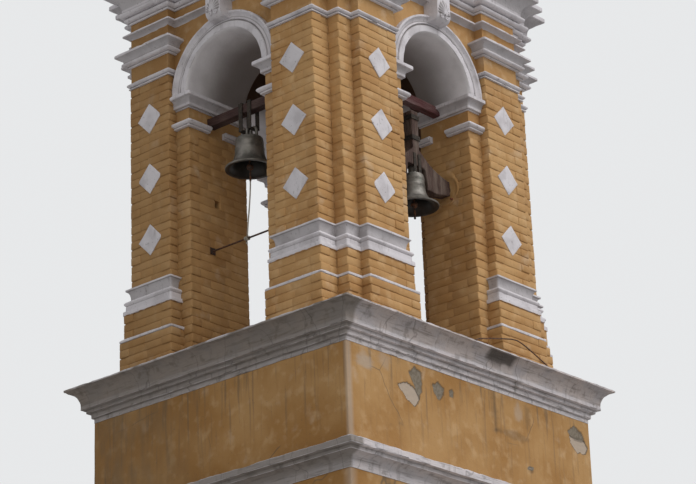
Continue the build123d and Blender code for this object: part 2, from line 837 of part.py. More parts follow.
# Wooden headstock: a tall trunk as the counterweight, on two arms with hollowed shoulders
arm_end = opening_half - headstock_end_gap
arm_top = headstock_end_height - headstock_end_drop
headstock_notch_half = swing_bell_shoulder + headstock_notch_clearance
with BuildPart() as headstock:
    with BuildSketch(belfry_face(0, -axle_y - headstock_thickness / 2, axle_height)):
        with BuildLine():
            Polyline((0, trunk_top), (trunk_half_width, trunk_top), (trunk_half_width, trunk_foot))
            ThreePointArc((trunk_half_width, trunk_foot), headstock_hollow, (arm_end, arm_top))
            Polyline(
                (arm_end, arm_top),
                (arm_end, -headstock_end_drop),
                headstock_belly,
                (headstock_notch_half, -arm_foot_drop),
                (headstock_notch_half - headstock_notch_slope, headstock_notch_top),
                (0, headstock_notch_top),
                (0, trunk_top),
            )
        make_face()
        mirror(about=Plane.YZ)
    extrude(amount=headstock_thickness)
    with BuildSketch(belfry_face(90, -opening_half)):
        with Locations((axle_y, axle_height)):
            Circle(pin_radius)
    extrude(amount=headstock_end_gap + pin_in_headstock, mode=Mode.SUBTRACT)
    with BuildSketch(belfry_face(90, opening_half - headstock_end_gap - pin_in_headstock)):
        with Locations((axle_y, axle_height)):
            Circle(pin_radius)
    extrude(amount=headstock_end_gap + pin_in_headstock, mode=Mode.SUBTRACT)
finish(headstock, "headstock")

# Iron pins in the ends of the headstock, which turn in the bearings
pin_length = pin_in_headstock + headstock_end_gap + pin_in_bearing
with BuildPart() as axle_pins:
    for start in (-opening_half - pin_in_bearing, opening_half + pin_in_bearing - pin_length):
        with BuildSketch(belfry_face(90, start)):
            with Locations((axle_y, axle_height)):
                Circle(pin_radius)
        extrude(amount=pin_length)
finish(axle_pins, "axle_pins")

# Bearings let into the jambs
with BuildPart() as axle_bearings:
    for start in (-opening_half - bearing_length, opening_half):
        with BuildSketch(belfry_face(90, start)):
            with Locations((axle_y, axle_height)):
                Circle(bearing_radius)
                Circle(pin_radius + running_clearance, mode=Mode.SUBTRACT)
        extrude(amount=bearing_length)
finish(axle_bearings, "axle_bearings")

# Iron on the headstock: straps down to the canons, and collars round the trunk
with BuildPart() as headstock_iron:
    strap_back = headstock_thickness / 2 + head_strap_thickness
    for distance in (-axle_y - strap_back, -axle_y + headstock_thickness / 2):
        with BuildSketch(belfry_face(0, distance)):
            for across in (-head_strap_spacing / 2, head_strap_spacing / 2):
                with Locations((across, swing_bell_crown + head_strap_lap)):
                    Rectangle(
                        head_strap_width, head_strap_height, align=(Align.CENTER, Align.MIN)
                    )
        extrude(amount=head_strap_thickness)
    for height in collar_heights:
        collar_level = shaft_height + axle_height + height
        with BuildSketch(Plane((belfry_shift_x, axle_y, collar_level), (1, 0, 0), (0, 0, 1))):
            Rectangle(
                2 * (trunk_half_width + head_strap_thickness),
                headstock_thickness + 2 * head_strap_thickness,
            )
            Rectangle(2 * trunk_half_width, headstock_thickness, mode=Mode.SUBTRACT)
        extrude(amount=collar_height)
finish(headstock_iron, "headstock_iron")

# Timber beam above the swinging bell, from pocket to pocket
with BuildPart() as upper_beam:
    with BuildSketch(belfry_face(0, upper_beam_back)):
        with Locations((0, upper_beam_foot)):
            Rectangle(
                opening_width + 2 * beam_pocket, upper_beam_height, align=(Align.CENTER, Align.MIN)
            )
    extrude(amount=upper_beam_width)
finish(upper_beam, "upper_beam")
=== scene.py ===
"""Looks of a small brick bell tower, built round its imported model.

Metres, Z up, the front towards -Y. Left and right are as seen from the front.
"""

import itertools
import math
from functools import partial, reduce

import bmesh
import bpy
import numpy as np
from mathutils import Matrix, Vector


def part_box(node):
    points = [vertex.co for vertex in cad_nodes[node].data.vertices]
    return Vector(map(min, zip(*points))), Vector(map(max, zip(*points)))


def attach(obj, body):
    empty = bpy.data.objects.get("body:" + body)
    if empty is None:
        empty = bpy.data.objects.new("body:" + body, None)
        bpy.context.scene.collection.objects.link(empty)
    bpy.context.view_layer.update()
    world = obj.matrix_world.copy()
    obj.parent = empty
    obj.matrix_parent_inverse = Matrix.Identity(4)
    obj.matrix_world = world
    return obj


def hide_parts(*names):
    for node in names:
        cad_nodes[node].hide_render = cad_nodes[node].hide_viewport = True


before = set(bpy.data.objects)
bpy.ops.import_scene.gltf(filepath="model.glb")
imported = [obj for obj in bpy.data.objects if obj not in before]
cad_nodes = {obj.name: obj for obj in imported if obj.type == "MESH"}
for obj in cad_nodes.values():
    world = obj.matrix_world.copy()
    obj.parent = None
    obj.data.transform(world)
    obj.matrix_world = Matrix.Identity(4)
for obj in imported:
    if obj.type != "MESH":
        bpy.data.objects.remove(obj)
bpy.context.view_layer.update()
collection = bpy.context.scene.collection

# Sizes read from the frame
floor_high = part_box("belfry_floor")[1]
arch_low, arch_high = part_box("arch_wall_front")
lozenge_low, lozenge_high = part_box("lozenges")
shaft_half_x = floor_high.x
shaft_half_y = floor_high.y
belfry_level = floor_high.z
belfry_x = (arch_low.x + arch_high.x) / 2
front_distance = -arch_low.y
side_distance = belfry_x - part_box("arch_wall_left")[0].x
inner_half = -arch_high.y
opening_half = (arch_high.x - arch_low.x) / 2
springing_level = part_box("archivolts")[0].z
string_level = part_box("string_course")[0].z
cornice_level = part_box("main_cornice")[0].z
base_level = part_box("pier_base_front_left")[0].z
base_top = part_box("pier_base_front_left")[1].z
necking_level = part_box("neckings")[0].z
capital_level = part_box("capitals")[0].z
band_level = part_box("frieze_band")[0].z
top_cornice_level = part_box("top_cornice")[0].z
impost_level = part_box("imposts")[0].z
astragal_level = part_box("astragals")[0].z
pin_low, pin_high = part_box("axle_pins")
axle = Vector((belfry_x, (pin_low.y + pin_high.y) / 2, (pin_low.z + pin_high.z) / 2))

# Plan sizes of the belfry that the frame doesn't give by itself
pilaster_width = 0.452
pilaster_projection = 0.085
side_corner_depth = 0.105
strip_width = 0.157
keystone_half = 0.085
keystone_projection = 0.150
astragal_gap = (0.220, 0.400)
lozenge_height = 0.280
lozenge_side_margin = 0.088
lozenge_count = 3
lozenge_relief = 0.0135
pilaster_inner = opening_half + strip_width
pilaster_outer = pilaster_inner + pilaster_width
putlog_in = 0.325
putlog_up = 1.535

# Bricks. The bed joints are filled with paint, and the end joints overlap under it.
course_pitch = 0.072
brick_length = 0.26
brick_depth = 0.105
shortest_brick = 0.025
shortest_stretch = 0.03
longest_single_brick = 0.2
joint_width = 0.001
end_joint = -0.012
bottom_joint = 0.004
brick_proud = 0.005
strip_brick_proud = 0.0015
base_brick_proud = 0.004
wall_reach = 0.02

# Plaster and mouldings: how proud, how deep in the wall, and how much an arris is softened
coat_proud = 0.0075
moulding_back = 0.012
plate_sunk = 0.004
arris_softening = 0.0035

# Bells, nails and rope
bell_wall = 0.016
bell_lip_wall = 0.034
bell_waist_flare = 0.007
lathe_segments = 96
nail_size = 0.0065
rope_diameter = 0.012
rope_top = (-1.077, 0, 9.5978)
rope_foot = (-1.085, 0.042, 9.101)

# How far the rope has gone, as shares of its whole way in x, y and z
rope_course = [
    (0, 0, 0), (0.13, 0.05, 0.169), (0.5, 0.21, 0.358), (0.63, 0.45, 0.555), (1, 0.74, 0.756),
    (1, 1, 1),
]

# Bent rod on the cornice: its plane, and its stops across and above the cornice
bent_rod_y = -1.50
bent_rod_stops = [
    (-0.090, -0.030), (-0.088, 0.020), (-0.054, 0.054), (0.202, 0.117), (0.448, 0.170),
    (0.560, 0.152), (0.821, 0.059), (0.900, 0.024), (0.935, -0.030),
]

# Turns of the sides, how far their walls stand from the middle, and how deep their corners lie
side_turns = {"front": 0, "right": 90, "back": 180, "left": 270}
wall_distance = {
    "front": front_distance, "right": side_distance, "back": front_distance, "left": side_distance
}
corner_depth = {"front": 0, "right": side_corner_depth, "back": 0, "left": side_corner_depth}
corner_sides = {
    "front_left": ("front", "left"),
    "front_right": ("right", "front"),
    "back_right": ("back", "right"),
    "back_left": ("left", "back"),
}

# Mouldings, as rows from the bottom up: shape, projection from the wall, height of the row
main_cornice_rows = [
    ("flat", 0.012, 0.040),
    ("flat", 0.032, 0.043),
    ("flat", 0.062, 0.030),
    ("flat", 0.096, 0.037),
    ("hollow", 0.178, 0.120),
    ("flat", 0.195, 0.025),
]
string_course_rows = [
    ("flat", 0.014, 0.054),
    ("hollow", 0.084, 0.057),
    ("flat", 0.098, 0.032),
    ("flat", 0.140, 0.062),
]
pilaster_base_rows = [
    ("flat", 0.072, 0.349),
    ("flat", 0.082, 0.025),
    ("flat", 0.046, 0.214),
    ("flat", 0.062, 0.040),
    ("flat", 0.044, 0.045),
    ("round", 0.058, 0.045),
    ("flat", 0.014, 0.012),
    ("hollow", 0.038, 0.076),
    ("flat", 0.048, 0.019),
]
necking_rows = [("flat", 0.022, 0.012), ("flat", 0.008, 0.008), ("round", 0.036, 0.036)]
capital_rows = [
    ("flat", 0.024, 0.014),
    ("round", 0.066, 0.036),
    ("hollow", 0.096, 0.050),
    ("flat", 0.108, 0.024),
]
band_rows = [("hollow", 0.050, 0.034), ("flat", 0.060, 0.016)]
top_cornice_rows = [
    ("flat", 0.016, 0.020),
    ("round", 0.050, 0.046),
    ("round", 0.088, 0.050),
    ("flat", 0.062, 0.024),
    ("hollow", 0.165, 0.120),
    ("flat", 0.182, 0.040),
]
impost_rows = [
    ("flat", 0.014, 0.012),
    ("flat", 0.034, 0.020),
    ("hollow", 0.066, 0.050),
    ("flat", 0.084, 0.034),
]
astragal_rows = [("flat", 0.038, 0.016), ("round", 0.064, 0.044)]
hollow_share = (0.26, 0.62)
round_share = 0.42
# How dark the hollows of a moulding are painted: painted shade, with some grime
hollow_shade_and_dirt = 0.42

# Paints, stains and painted shade, as they look in plain daylight, in sRGB
belfry_ochers = ((164, 123, 76), (181, 142, 94), (200, 167, 124), (194, 169, 140))
shaft_ochers = ((150, 109, 60), (169, 131, 84), (189, 156, 115), (184, 158, 130))
# Painted shade for the far part of the belfry's left side
far_left_shade_ocher = (116, 86, 50)
bare_plaster = (168, 152, 136)
bare_mortar = (124, 114, 100)
fresh_white = (222, 218, 220)
# Painted shade deep under the arches
soffit_shade_white = (116, 106, 100)
lime_white = (204, 199, 202)
lime_shade = (172, 166, 168)
grime = (84, 76, 66)
soot = (48, 42, 38)
stucco_grey = (190, 178, 174)
stucco_brown = (96, 86, 72)
# Unpainted walls inside the belfry, darkened further by painted shade
room_brown_with_painted_shade = (70, 48, 38)
bronze_dark = (82, 78, 72)
bronze_bloom = (122, 117, 111)
bronze_green = (96, 106, 94)
# Painted shade inside the bells
bell_inside_shade = (30, 28, 26)
rope_white = (188, 182, 170)
rope_dirt = (122, 112, 96)

# What lights the tower, and what the camera sees of the studio. The sky is in linear shares.
floor_bounce = (178, 178, 176)
floor_shown = (222, 222, 222)
sky_low = (0.27, 0.276, 0.29, 1)
sky_high = (0.55, 0.565, 0.60, 1)
sky_shown = (0.80, 0.81, 0.82, 1)


def linear(colour):
    """An sRGB colour, 0 to 255, as the linear colour that a shader takes."""
    shares = [channel / 255 for channel in colour]
    return [s / 12.92 if s <= 0.04045 else ((s + 0.055) / 1.055) ** 2.4 for s in shares] + [1]


def new_node(tree, kind, inputs=None, **settings):
    """A node with its settings. Each input is a value or the output of another node."""
    made = tree.nodes.new(kind)
    for name, value in settings.items():
        setattr(made, name, value)
    for name, value in (inputs or {}).items():
        if isinstance(value, bpy.types.NodeSocket):
            tree.links.new(value, made.inputs[name])
        else:
            made.inputs[name].default_value = value
    return made


class Finish:
    """A material being made: its colour so far, and masks that read the piece's coordinates."""

    def __init__(self, name, roughness, metallic=0.0, specular=0.3):
        self.material = bpy.data.materials.new(name)
        self.material.use_nodes = True
        self.tree = self.material.node_tree
        self.shader = self.tree.nodes["Principled BSDF"]
        self.shader.inputs["Roughness"].default_value = roughness
        self.shader.inputs["Metallic"].default_value = metallic
        self.shader.inputs["Specular IOR Level"].default_value = specular
        self.place = self.node("ShaderNodeTexCoord").outputs["Object"]
        self.colour = None

    def node(self, kind, inputs=None, **settings):
        return new_node(self.tree, kind, inputs, **settings)

    def noise(self, cell, detail=3, stretch=(1, 1, 1), shift=0.0):
        """Cloudy noise with lumps of about that size in metres, drawn out along an axis."""
        scale = [1 / (cell * s) for s in stretch]
        inputs = {"Vector": self.place, "Scale": scale, "Location": (shift,) * 3}
        spot = self.node("ShaderNodeMapping", inputs).outputs[0]
        inputs = {"Vector": spot, "Detail": detail, "Scale": 1}
        return self.node("ShaderNodeTexNoise", inputs).outputs[0]

    def ease(self, value, low, high, depth=1.0):
        """0 below low, depth above high, and smooth between."""
        inputs = {"Value": value, "From Min": low, "From Max": high, "To Min": 0, "To Max": depth}
        return self.node("ShaderNodeMapRange", inputs, interpolation_type="SMOOTHSTEP").outputs[0]

    def blots(self, cell, detail, span, depth=1.0, stretch=(1, 1, 1), shift=0.0):
        """Blots, up to that depth, where noise of that cell size rises over a span of values."""
        return self.ease(self.noise(cell, detail, stretch, shift), *span, depth)

    def math(self, operation, first, second=0.5):
        return self.node("ShaderNodeMath", {0: first, 1: second}, operation=operation).outputs[0]

    def both(self, first, second):
        return self.math("MULTIPLY", first, second)

    def mix(self, share, first, second):
        inputs = {0: share}
        for socket, colour in ((6, first), (7, second)):
            inputs[socket] = colour if isinstance(colour, bpy.types.NodeSocket) else linear(colour)
        return self.node("ShaderNodeMix", inputs, data_type="RGBA").outputs[2]

    def blend(self, colour, *shares):
        """Lay a colour over the colour so far, by the product of the shares."""
        self.colour = self.mix(reduce(self.both, shares), self.colour, colour)

    def axis(self, name):
        return self.node("ShaderNodeSeparateXYZ", {0: self.place}).outputs[name]

    def reach(self, shorter=0.0):
        """Distance from the belfry's middle, across or along. The way across is shortened."""
        across = self.math("ABSOLUTE", self.math("SUBTRACT", self.axis("X"), belfry_x))
        across = self.math("SUBTRACT", across, shorter)
        return self.math("MAXIMUM", across, self.math("ABSOLUTE", self.axis("Y")))

    def attribute(self, name):
        return self.node("ShaderNodeAttribute", attribute_name=name).outputs["Fac"]

    def cracks(self, cell, width, stretch=(1, 1, 1)):
        """1 on thin wandering lines between cells of about that size, 0 elsewhere."""
        wander_share = 0.12
        inputs = {"Vector": self.place, "Scale": [1 / s for s in stretch]}
        spot = self.node("ShaderNodeMapping", inputs).outputs[0]
        inputs = {"Vector": self.place, "Scale": 3 / cell}
        wander = self.node("ShaderNodeTexNoise", inputs).outputs["Color"]
        inputs = {0: wander_share * cell, 4: spot, 5: wander}
        bent = self.node("ShaderNodeMix", inputs, data_type="VECTOR").outputs[1]
        inputs = {"Vector": bent, "Scale": 1 / cell}
        cells = self.node("ShaderNodeTexVoronoi", inputs, feature="DISTANCE_TO_EDGE")
        return self.ease(cells.outputs["Distance"], width / cell, 0)

    def bump(self, height, distance):
        """Add relief of that height in metres to the shader."""
        made = self.node("ShaderNodeBump", {"Height": height, "Distance": distance})
        before = self.shader.inputs["Normal"]
        if before.is_linked:
            self.tree.links.new(before.links[0].from_socket, made.inputs["Normal"])
        self.tree.links.new(made.outputs[0], before)

    def lumps(self, *kinds):
        """Relief of noise. Each kind of lump has a cell size, a detail and a height."""
        for cell, detail, height in kinds:
            self.bump(self.noise(cell, detail), height)

    def done(self):
        self.tree.links.new(self.colour, self.shader.inputs["Base Color"])
        return self.material


def ocher_coat(finish, tones):
    """Ocher limewash: clouds, worn areas, runs of rain, painted shade on the far part of the left side,
    and specks.
    """
    deep, plain, pale, bleached = tones
    finish.colour = finish.mix(finish.blots(0.60, 4, (0.36, 0.64)), deep, plain)
    finish.blend(pale, finish.blots(0.11, 5, (0.50, 0.72), 0.45, shift=3))
    finish.blend(bleached, finish.blots(0.22, 5, (0.60, 0.74), 0.5, shift=11))
    finish.blend(deep, finish.blots(0.05, 4, (0.56, 0.78), 0.45, (1, 1, 9), 7))
    # Painted shade: the far part of the belfry's left side is darkened
    far = finish.ease(finish.axis("Y"), -0.2, 0.9, 0.5)
    left_wall = belfry_x - side_distance
    finish.blend(far_left_shade_ocher, far, finish.ease(finish.axis("X"), left_wall + 0.07, left_wall))
    finish.blend(grime, finish.blots(0.016, 2, (0.66, 0.76), 0.4, shift=5))


def brick_paint():
    """Ocher paint on bricks. Each brick has its own tone."""
    finish = Finish("ocher_paint_on_brick", 0.86)
    ocher_coat(finish, belfry_ochers)
    tone = finish.attribute("tone")
    finish.blend(belfry_ochers[2], finish.ease(tone, 0.55, 1, 0.13))
    finish.blend(belfry_ochers[0], finish.ease(tone, 0.45, 0, 0.13))
    finish.lumps((0.02, 4, 0.002))
    return finish.done()


def masonry_paint():
    """Ocher plaster of the piers and arches; inside the belfry it is unpainted and darkened by painted
    shade.
    """
    finish = Finish("ocher_plaster_of_the_belfry", 0.88)
    ocher_coat(finish, belfry_ochers)
    # Painted shade: the walls inside the belfry are unpainted and dark
    inside = finish.ease(finish.reach(), inner_half + 0.012, inner_half + 0.002)
    finish.blend(room_brown_with_painted_shade, inside, 0.92)
    finish.lumps((0.05, 4, 0.004), (0.012, 3, 0.001))
    return finish.done()


def shaft_paint():
    """Ocher plaster of the shaft, stained below the cornice, with bare patches and blotchy painted
    shade on the far part of its left side.
    """
    finish = Finish("ocher_plaster_of_the_shaft", 0.88)
    ocher_coat(finish, shaft_ochers)
    height = finish.axis("Z")
    below = finish.ease(height, cornice_level - 1.0, cornice_level)
    finish.blend(grime, below, finish.blots(0.035, 5, (0.52, 0.72), 1, (1, 1, 14), 2), 0.5)
    # Painted shade: brown blotches darken the far part of the shaft's left side
    far = finish.ease(finish.axis("Y"), -0.2, 1.1)
    left = finish.ease(finish.axis("X"), -shaft_half_x + 0.01, -shaft_half_x)
    finish.blend(stucco_brown, far, left, finish.blots(0.13, 5, (0.40, 0.66), 0.35, (1, 1, 3), 8))
    finish.blend(grime, finish.ease(finish.math("ADD", height, finish.noise(0.4, 4)), 1.3, 0.5, 0.65))
    finish.blend(grime, finish.cracks(0.85, 0.004), finish.blots(0.5, 3, (0.5, 0.6)), 0.7)
    bare = finish.attribute("bare")
    crumbled = finish.mix(finish.blots(0.02, 5, (0.42, 0.62), 0.6, shift=4), bare_mortar, stucco_brown)
    finish.blend(crumbled, finish.ease(bare, 0.2, 0.6))
    finish.blend(bare_plaster, finish.ease(bare, 1.1, 1.6))
    finish.blend(soot, finish.attribute("stain"))
    finish.blend(bare_plaster, finish.attribute("faded"))
    finish.lumps((0.03, 5, 0.003), (0.008, 3, 0.0008))
    return finish.done()


def lime_coat(finish):
    """White limewash on stucco, grey in blotches, specked with grime, and darkened in its recesses by
    painted shade with some grime.
    """
    finish.colour = finish.mix(finish.blots(0.20, 5, (0.45, 0.66), 0.6), lime_white, lime_shade)
    finish.blend(grime, finish.blots(0.030, 4, (0.58, 0.76), 0.28, (1, 1, 8), 4))
    finish.blend(grime, finish.blots(0.022, 3, (0.64, 0.72), 0.4, shift=9))
    # Painted shade, with some grime, in the recesses and hollows of the mouldings
    finish.blend(grime, finish.attribute("recess_shade_and_dirt"), 0.65)


def white_paint():
    """White limewash of the belfry mouldings."""
    finish = Finish("white_limewash_on_stucco", 0.82)
    lime_coat(finish)
    finish.lumps((0.03, 4, 0.003), (0.007, 3, 0.0008))
    return finish.done()


def soffit_paint():
    """White limewash under the arches, darkened towards the room by painted shade."""
    finish = Finish("limewash_of_the_soffits_with_painted_shade", 0.85)
    finish.colour = finish.mix(finish.blots(0.25, 4, (0.35, 0.65), 0.35), fresh_white, lime_shade)
    # Painted shade: the soffit darkens from its outer edge towards the room
    depth = finish.reach(side_distance - front_distance)
    finish.blend(soffit_shade_white, finish.ease(depth, front_distance - 0.02, inner_half + 0.10, 0.85))
    finish.lumps((0.05, 4, 0.003))
    return finish.done()


def base_paint():
    """The bases: white mouldings over ocher plinths, with a ragged edge between the paints."""
    finish = Finish("painted_stucco_of_the_bases", 0.84)
    ragged = finish.both(finish.math("SUBTRACT", finish.noise(0.04, 3)), 0.014)
    height = finish.math("ADD", finish.axis("Z"), ragged)
    heights = [sum(row[2] for row in pilaster_base_rows[:count]) for count in (1, 2, 3)]
    foot, fillet, plinth = (base_level + h for h in heights)
    above_foot = finish.ease(height, foot - 0.004, foot - 0.001)
    below_plinth = finish.ease(height, fillet + 0.004, fillet + 0.001)
    high = finish.ease(height, plinth, plinth + 0.003)
    white = finish.math("MAXIMUM", finish.both(above_foot, below_plinth), high)
    lime_coat(finish)
    limewash = finish.colour
    ocher_coat(finish, belfry_ochers)
    finish.blend(limewash, white)
    finish.lumps((0.03, 4, 0.003))
    return finish.done()


def cornice_paint():
    """Old grey limewash of the cornices: brown weathering and painted shade on the left, sooty runs,
    pale worn arrises.
    """
    finish = Finish("weathered_stucco_of_the_cornices", 0.9)
    finish.colour = finish.mix(finish.blots(0.16, 5, (0.4, 0.65), 0.8), stucco_grey, lime_shade)
    height = finish.axis("Z")
    finish.blend(lime_white, finish.ease(height, cornice_level + 0.160, cornice_level + 0.146, 0.55))
    # The left side is browner by weathering and darker by painted shade
    left = finish.ease(finish.axis("X"), -shaft_half_x + 0.02, -shaft_half_x - 0.02, 0.66)
    finish.blend(stucco_brown, left)
    finish.blend(grime, finish.blots(0.055, 5, (0.54, 0.72), 0.3, (1, 1, 8), 2))
    finish.blend(grime, finish.blots(0.014, 4, (0.50, 0.70), 0.4, (14, 14, 1), 3))
    finish.blend(grime, finish.blots(0.09, 5, (0.58, 0.70), 0.4, shift=6))
    finish.blend(soot, finish.attribute("stain"))
    finish.blend(lime_white, finish.attribute("arris"))
    finish.blend(soot, finish.cracks(0.45, 0.003, (1, 1, 8)), 0.4)
    # Painted shade, with some grime, in the recesses and hollows of the cornices
    finish.blend(grime, finish.attribute("recess_shade_and_dirt"), 0.45)
    finish.lumps((0.035, 5, 0.006), (0.009, 3, 0.0015))
    return finish.done()


def roof_paint():
    """Lime plaster of the slab and the dome, grey with weather."""
    finish = Finish("weathered_lime_plaster_of_the_roof", 0.9)
    finish.colour = finish.mix(finish.blots(0.35, 5, (0.38, 0.62)), lime_shade, lime_white)
    finish.blend(stucco_brown, finish.blots(0.05, 5, (0.5, 0.74), 0.7, (1, 1, 8), 2))
    finish.blend(soot, finish.cracks(0.4, 0.004), 0.6)
    finish.lumps((0.04, 5, 0.004))
    return finish.done()


def floor_mortar():
    """Grey mortar of the ledge and the floor under the bells."""
    finish = Finish("grey_mortar_of_the_floor", 0.92)
    finish.colour = finish.mix(finish.blots(0.3, 5, (0.4, 0.62)), stucco_grey, stucco_brown)
    finish.blend(grime, finish.blots(0.07, 5, (0.6, 0.7), 0.6, shift=6))
    finish.lumps((0.03, 4, 0.004))
    return finish.done()


def bronze():
    """Bell bronze, dark with age, with grey bloom, green runs and painted shade inside."""
    finish = Finish("aged_bell_bronze", 0.5, metallic=0.55, specular=0.4)
    finish.colour = finish.mix(finish.blots(0.09, 5, (0.38, 0.66)), bronze_dark, bronze_bloom)
    finish.blend(bronze_green, finish.blots(0.016, 4, (0.56, 0.72), 0.45, (1, 1, 9), 2))
    # Painted shade: the inner side of each bell is darkened almost to black
    finish.blend(bell_inside_shade, finish.attribute("inside"), 0.85)
    finish.lumps((0.012, 4, 0.0008))
    return finish.done()


def wrought_iron(name, dark, rusty):
    """Wrought iron in two tones, with pits."""
    finish = Finish(name, 0.75, metallic=0.35)
    finish.colour = finish.mix(finish.blots(0.02, 5, (0.4, 0.62)), dark, rusty)
    finish.lumps((0.006, 4, 0.0006))
    return finish.done()


def old_wood(name, grain_way, hollow, ridge, bare):
    """Old paint worn off timber, in three tones. The grain runs along one axis."""
    finish = Finish(name, 0.78)
    stretch = [14 if way == grain_way else 1 for way in "XYZ"]
    patches = [0.3 * way + 0.7 for way in stretch]
    grain = finish.blots(0.007, 4, (0.35, 0.7), 1, stretch)
    checks = finish.blots(0.011, 3, (0.66, 0.72), 0.9, stretch, 5)
    finish.colour = finish.mix(grain, hollow, ridge)
    finish.blend(bare, finish.blots(0.08, 5, (0.46, 0.66), 0.7, patches))
    finish.blend(soot, checks)
    finish.bump(finish.math("SUBTRACT", grain, checks), 0.003)
    return finish.done()


def cotton_rope():
    """Off-white rope with dirty patches."""
    finish = Finish("dirty_cotton_rope", 0.9)
    finish.colour = finish.mix(finish.blots(0.03, 4, (0.4, 0.7), 0.7), rope_white, rope_dirt)
    finish.lumps((0.002, 3, 0.0006))
    return finish.done()


def lattice_noise(points, cell, seed):
    """Smooth noise from -1 to 1 at the points, from random values on a lattice of that cell."""
    grid = np.asarray(points, float) / cell
    base = np.floor(grid).astype(np.int64)
    part = grid - base
    part = part * part * (3 - 2 * part)
    total = np.zeros(grid.shape[:-1])
    for corner in itertools.product((0, 1), repeat=3):
        spot = base + np.array(corner)
        mixed = spot[..., 0] * 73856093 ^ spot[..., 1] * 19349663 ^ spot[..., 2] * 83492791
        mixed = (mixed + seed * 2654435761) & 0xFFFFFFFF
        mixed = ((mixed ^ (mixed >> 15)) * 2246822519) & 0xFFFFFFFF
        mixed = ((mixed ^ (mixed >> 13)) * 3266489917) & 0xFFFFFFFF
        value = ((mixed ^ (mixed >> 16)) & 0xFFFF) / 32767.5 - 1
        total += value * np.prod(np.where(corner, part, 1 - part), axis=-1)
    return total


def ease(value, low, high):
    """0 below low, 1 above high, and smooth between."""
    share = np.clip((np.asarray(value, float) - low) / (high - low), 0, 1)
    return share * share * (3 - 2 * share)


def turned(plan, turn):
    """Points of the belfry's plan, turned so that its own front is the chosen side."""
    c, s = math.cos(math.radians(turn)), math.sin(math.radians(turn))
    plan = np.asarray(plan, float)
    x = belfry_x + plan[..., 0] * c - plan[..., 1] * s
    return np.stack([x, plan[..., 0] * s + plan[..., 1] * c], axis=-1)


def heading(ways, turn):
    """Ways in the belfry's plan, turned like its points."""
    return turned(ways, turn) - turned((0, 0), turn)


def outward(turn):
    """The way out of a side of the belfry."""
    return np.append(heading((0, -1), turn), 0)


def add_object(name, data):
    """A new object in the scene."""
    made = bpy.data.objects.new(name, data)
    collection.objects.link(made)
    return made


def new_mesh(name, vertices, faces):
    """A mesh whose faces all look outward."""
    mesh = bpy.data.meshes.new(name)
    mesh.from_pydata(np.asarray(vertices, float).reshape(-1, 3).tolist(), [], faces)
    shape = bmesh.new()
    shape.from_mesh(mesh)
    bmesh.ops.recalc_face_normals(shape, faces=shape.faces)
    shape.to_mesh(mesh)
    shape.free()
    return mesh


def add_piece(name, vertices, faces, material, **settings):
    """A mesh piece in its place, riding on a body and standing for CAD nodes."""
    return place_mesh(name, new_mesh(name, vertices, faces), material, **settings)


def place_mesh(name, mesh, material, body="tower", slot=None, stands_for=(), crease=50):
    """Put a finished mesh in the scene, smooth but for creases sharper than that angle."""
    mesh.materials.clear()
    mesh.materials.append(material)
    mesh.polygons.foreach_set("use_smooth", [True] * len(mesh.polygons))
    mesh.set_sharp_from_angle(angle=math.radians(crease))
    piece = add_object(name, mesh)
    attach(piece, body)
    if stands_for:
        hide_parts(*stands_for)
    return piece


def pier_leg(start, side):
    """Corners along one side of a pier, from the strip at its corner to a point by the opening."""
    wall = wall_distance[side]
    strip = wall - corner_depth[side]
    face = wall + pilaster_projection
    leg = [(-pilaster_outer, -strip), (-pilaster_outer, -face), (-pilaster_inner, -face)]
    leg.append((-pilaster_inner, -wall))
    if start < pilaster_inner:
        leg.append((-start, -wall))
    return leg


def pier_corners(start, sides):
    """Corners round the outside of a pier, seen with the first of its sides in front."""
    ahead, beside = sides
    corner = (
        corner_depth[beside] - wall_distance[beside], corner_depth[ahead] - wall_distance[ahead]
    )
    mirrored_leg = [(y, x) for x, y in reversed(pier_leg(start, beside))]
    return mirrored_leg + [corner] + pier_leg(start, ahead)


def mitred(corners, closed=False):
    """Way of each leg of a plan line, and at each corner the step outward that its mitre asks for."""
    corners = np.asarray(corners, float)
    ends = np.roll(corners, -1, axis=0) if closed else corners[1:]
    ways = ends - corners[: len(ends)]
    ways = ways / np.linalg.norm(ways, axis=1)[:, None]
    outs = np.stack([ways[:, 1], -ways[:, 0]], axis=1)
    before = np.roll(outs, 1, axis=0) if closed else np.vstack([outs[:1], outs])
    after = outs if closed else np.vstack([outs, outs[-1:]])
    return ways, (before + after) / (1 + np.sum(before * after, axis=1))[:, None]


def lay_stations(corners, spacing, closed=False, arris_gap=0.008):
    """Stations along a plan line: point, step outward, and 1 where two legs meet in an arris.

    The spacing is one value, or one for each leg.
    """
    corners = np.asarray(corners, float)
    ways, steps = mitred(corners, closed)
    spacings = np.broadcast_to(spacing, len(ways))
    points, outs, arris = [], [], []
    for leg in range(len(ways)):
        start, end = leg, (leg + 1) % len(corners)
        length = np.linalg.norm(corners[end] - corners[start])
        count = max(2, round(length / spacings[leg]))
        cuts = set(np.linspace(0, 1, count + 1).round(6))
        if length > 4 * arris_gap:
            cuts |= {arris_gap / length, 1 - arris_gap / length}
        last = leg == len(ways) - 1 and not closed
        for cut in sorted(cuts):
            if cut == 1 and not last:
                continue
            points.append(corners[start] * (1 - cut) + corners[end] * cut)
            outs.append(steps[start] * (1 - cut) + steps[end] * cut)
            turn = 0
            if cut == 0 and (leg > 0 or closed):
                turn = ways[leg - 1][0] * ways[leg][1] - ways[leg - 1][1] * ways[leg][0]
            arris.append(1.0 if turn > 0.5 else 0.0)
    return np.array(points), np.array(outs), np.array(arris)


def curve_through(start, middle, end, count=7):
    """Points of a curve from start to end that passes through middle."""
    start, middle, end = (np.array(p, float) for p in (start, middle, end))
    pull = 2 * middle - (start + end) / 2
    shares = np.linspace(0, 1, count)[1:, None]
    return list((1 - shares) ** 2 * start + 2 * shares * (1 - shares) * pull + shares**2 * end)


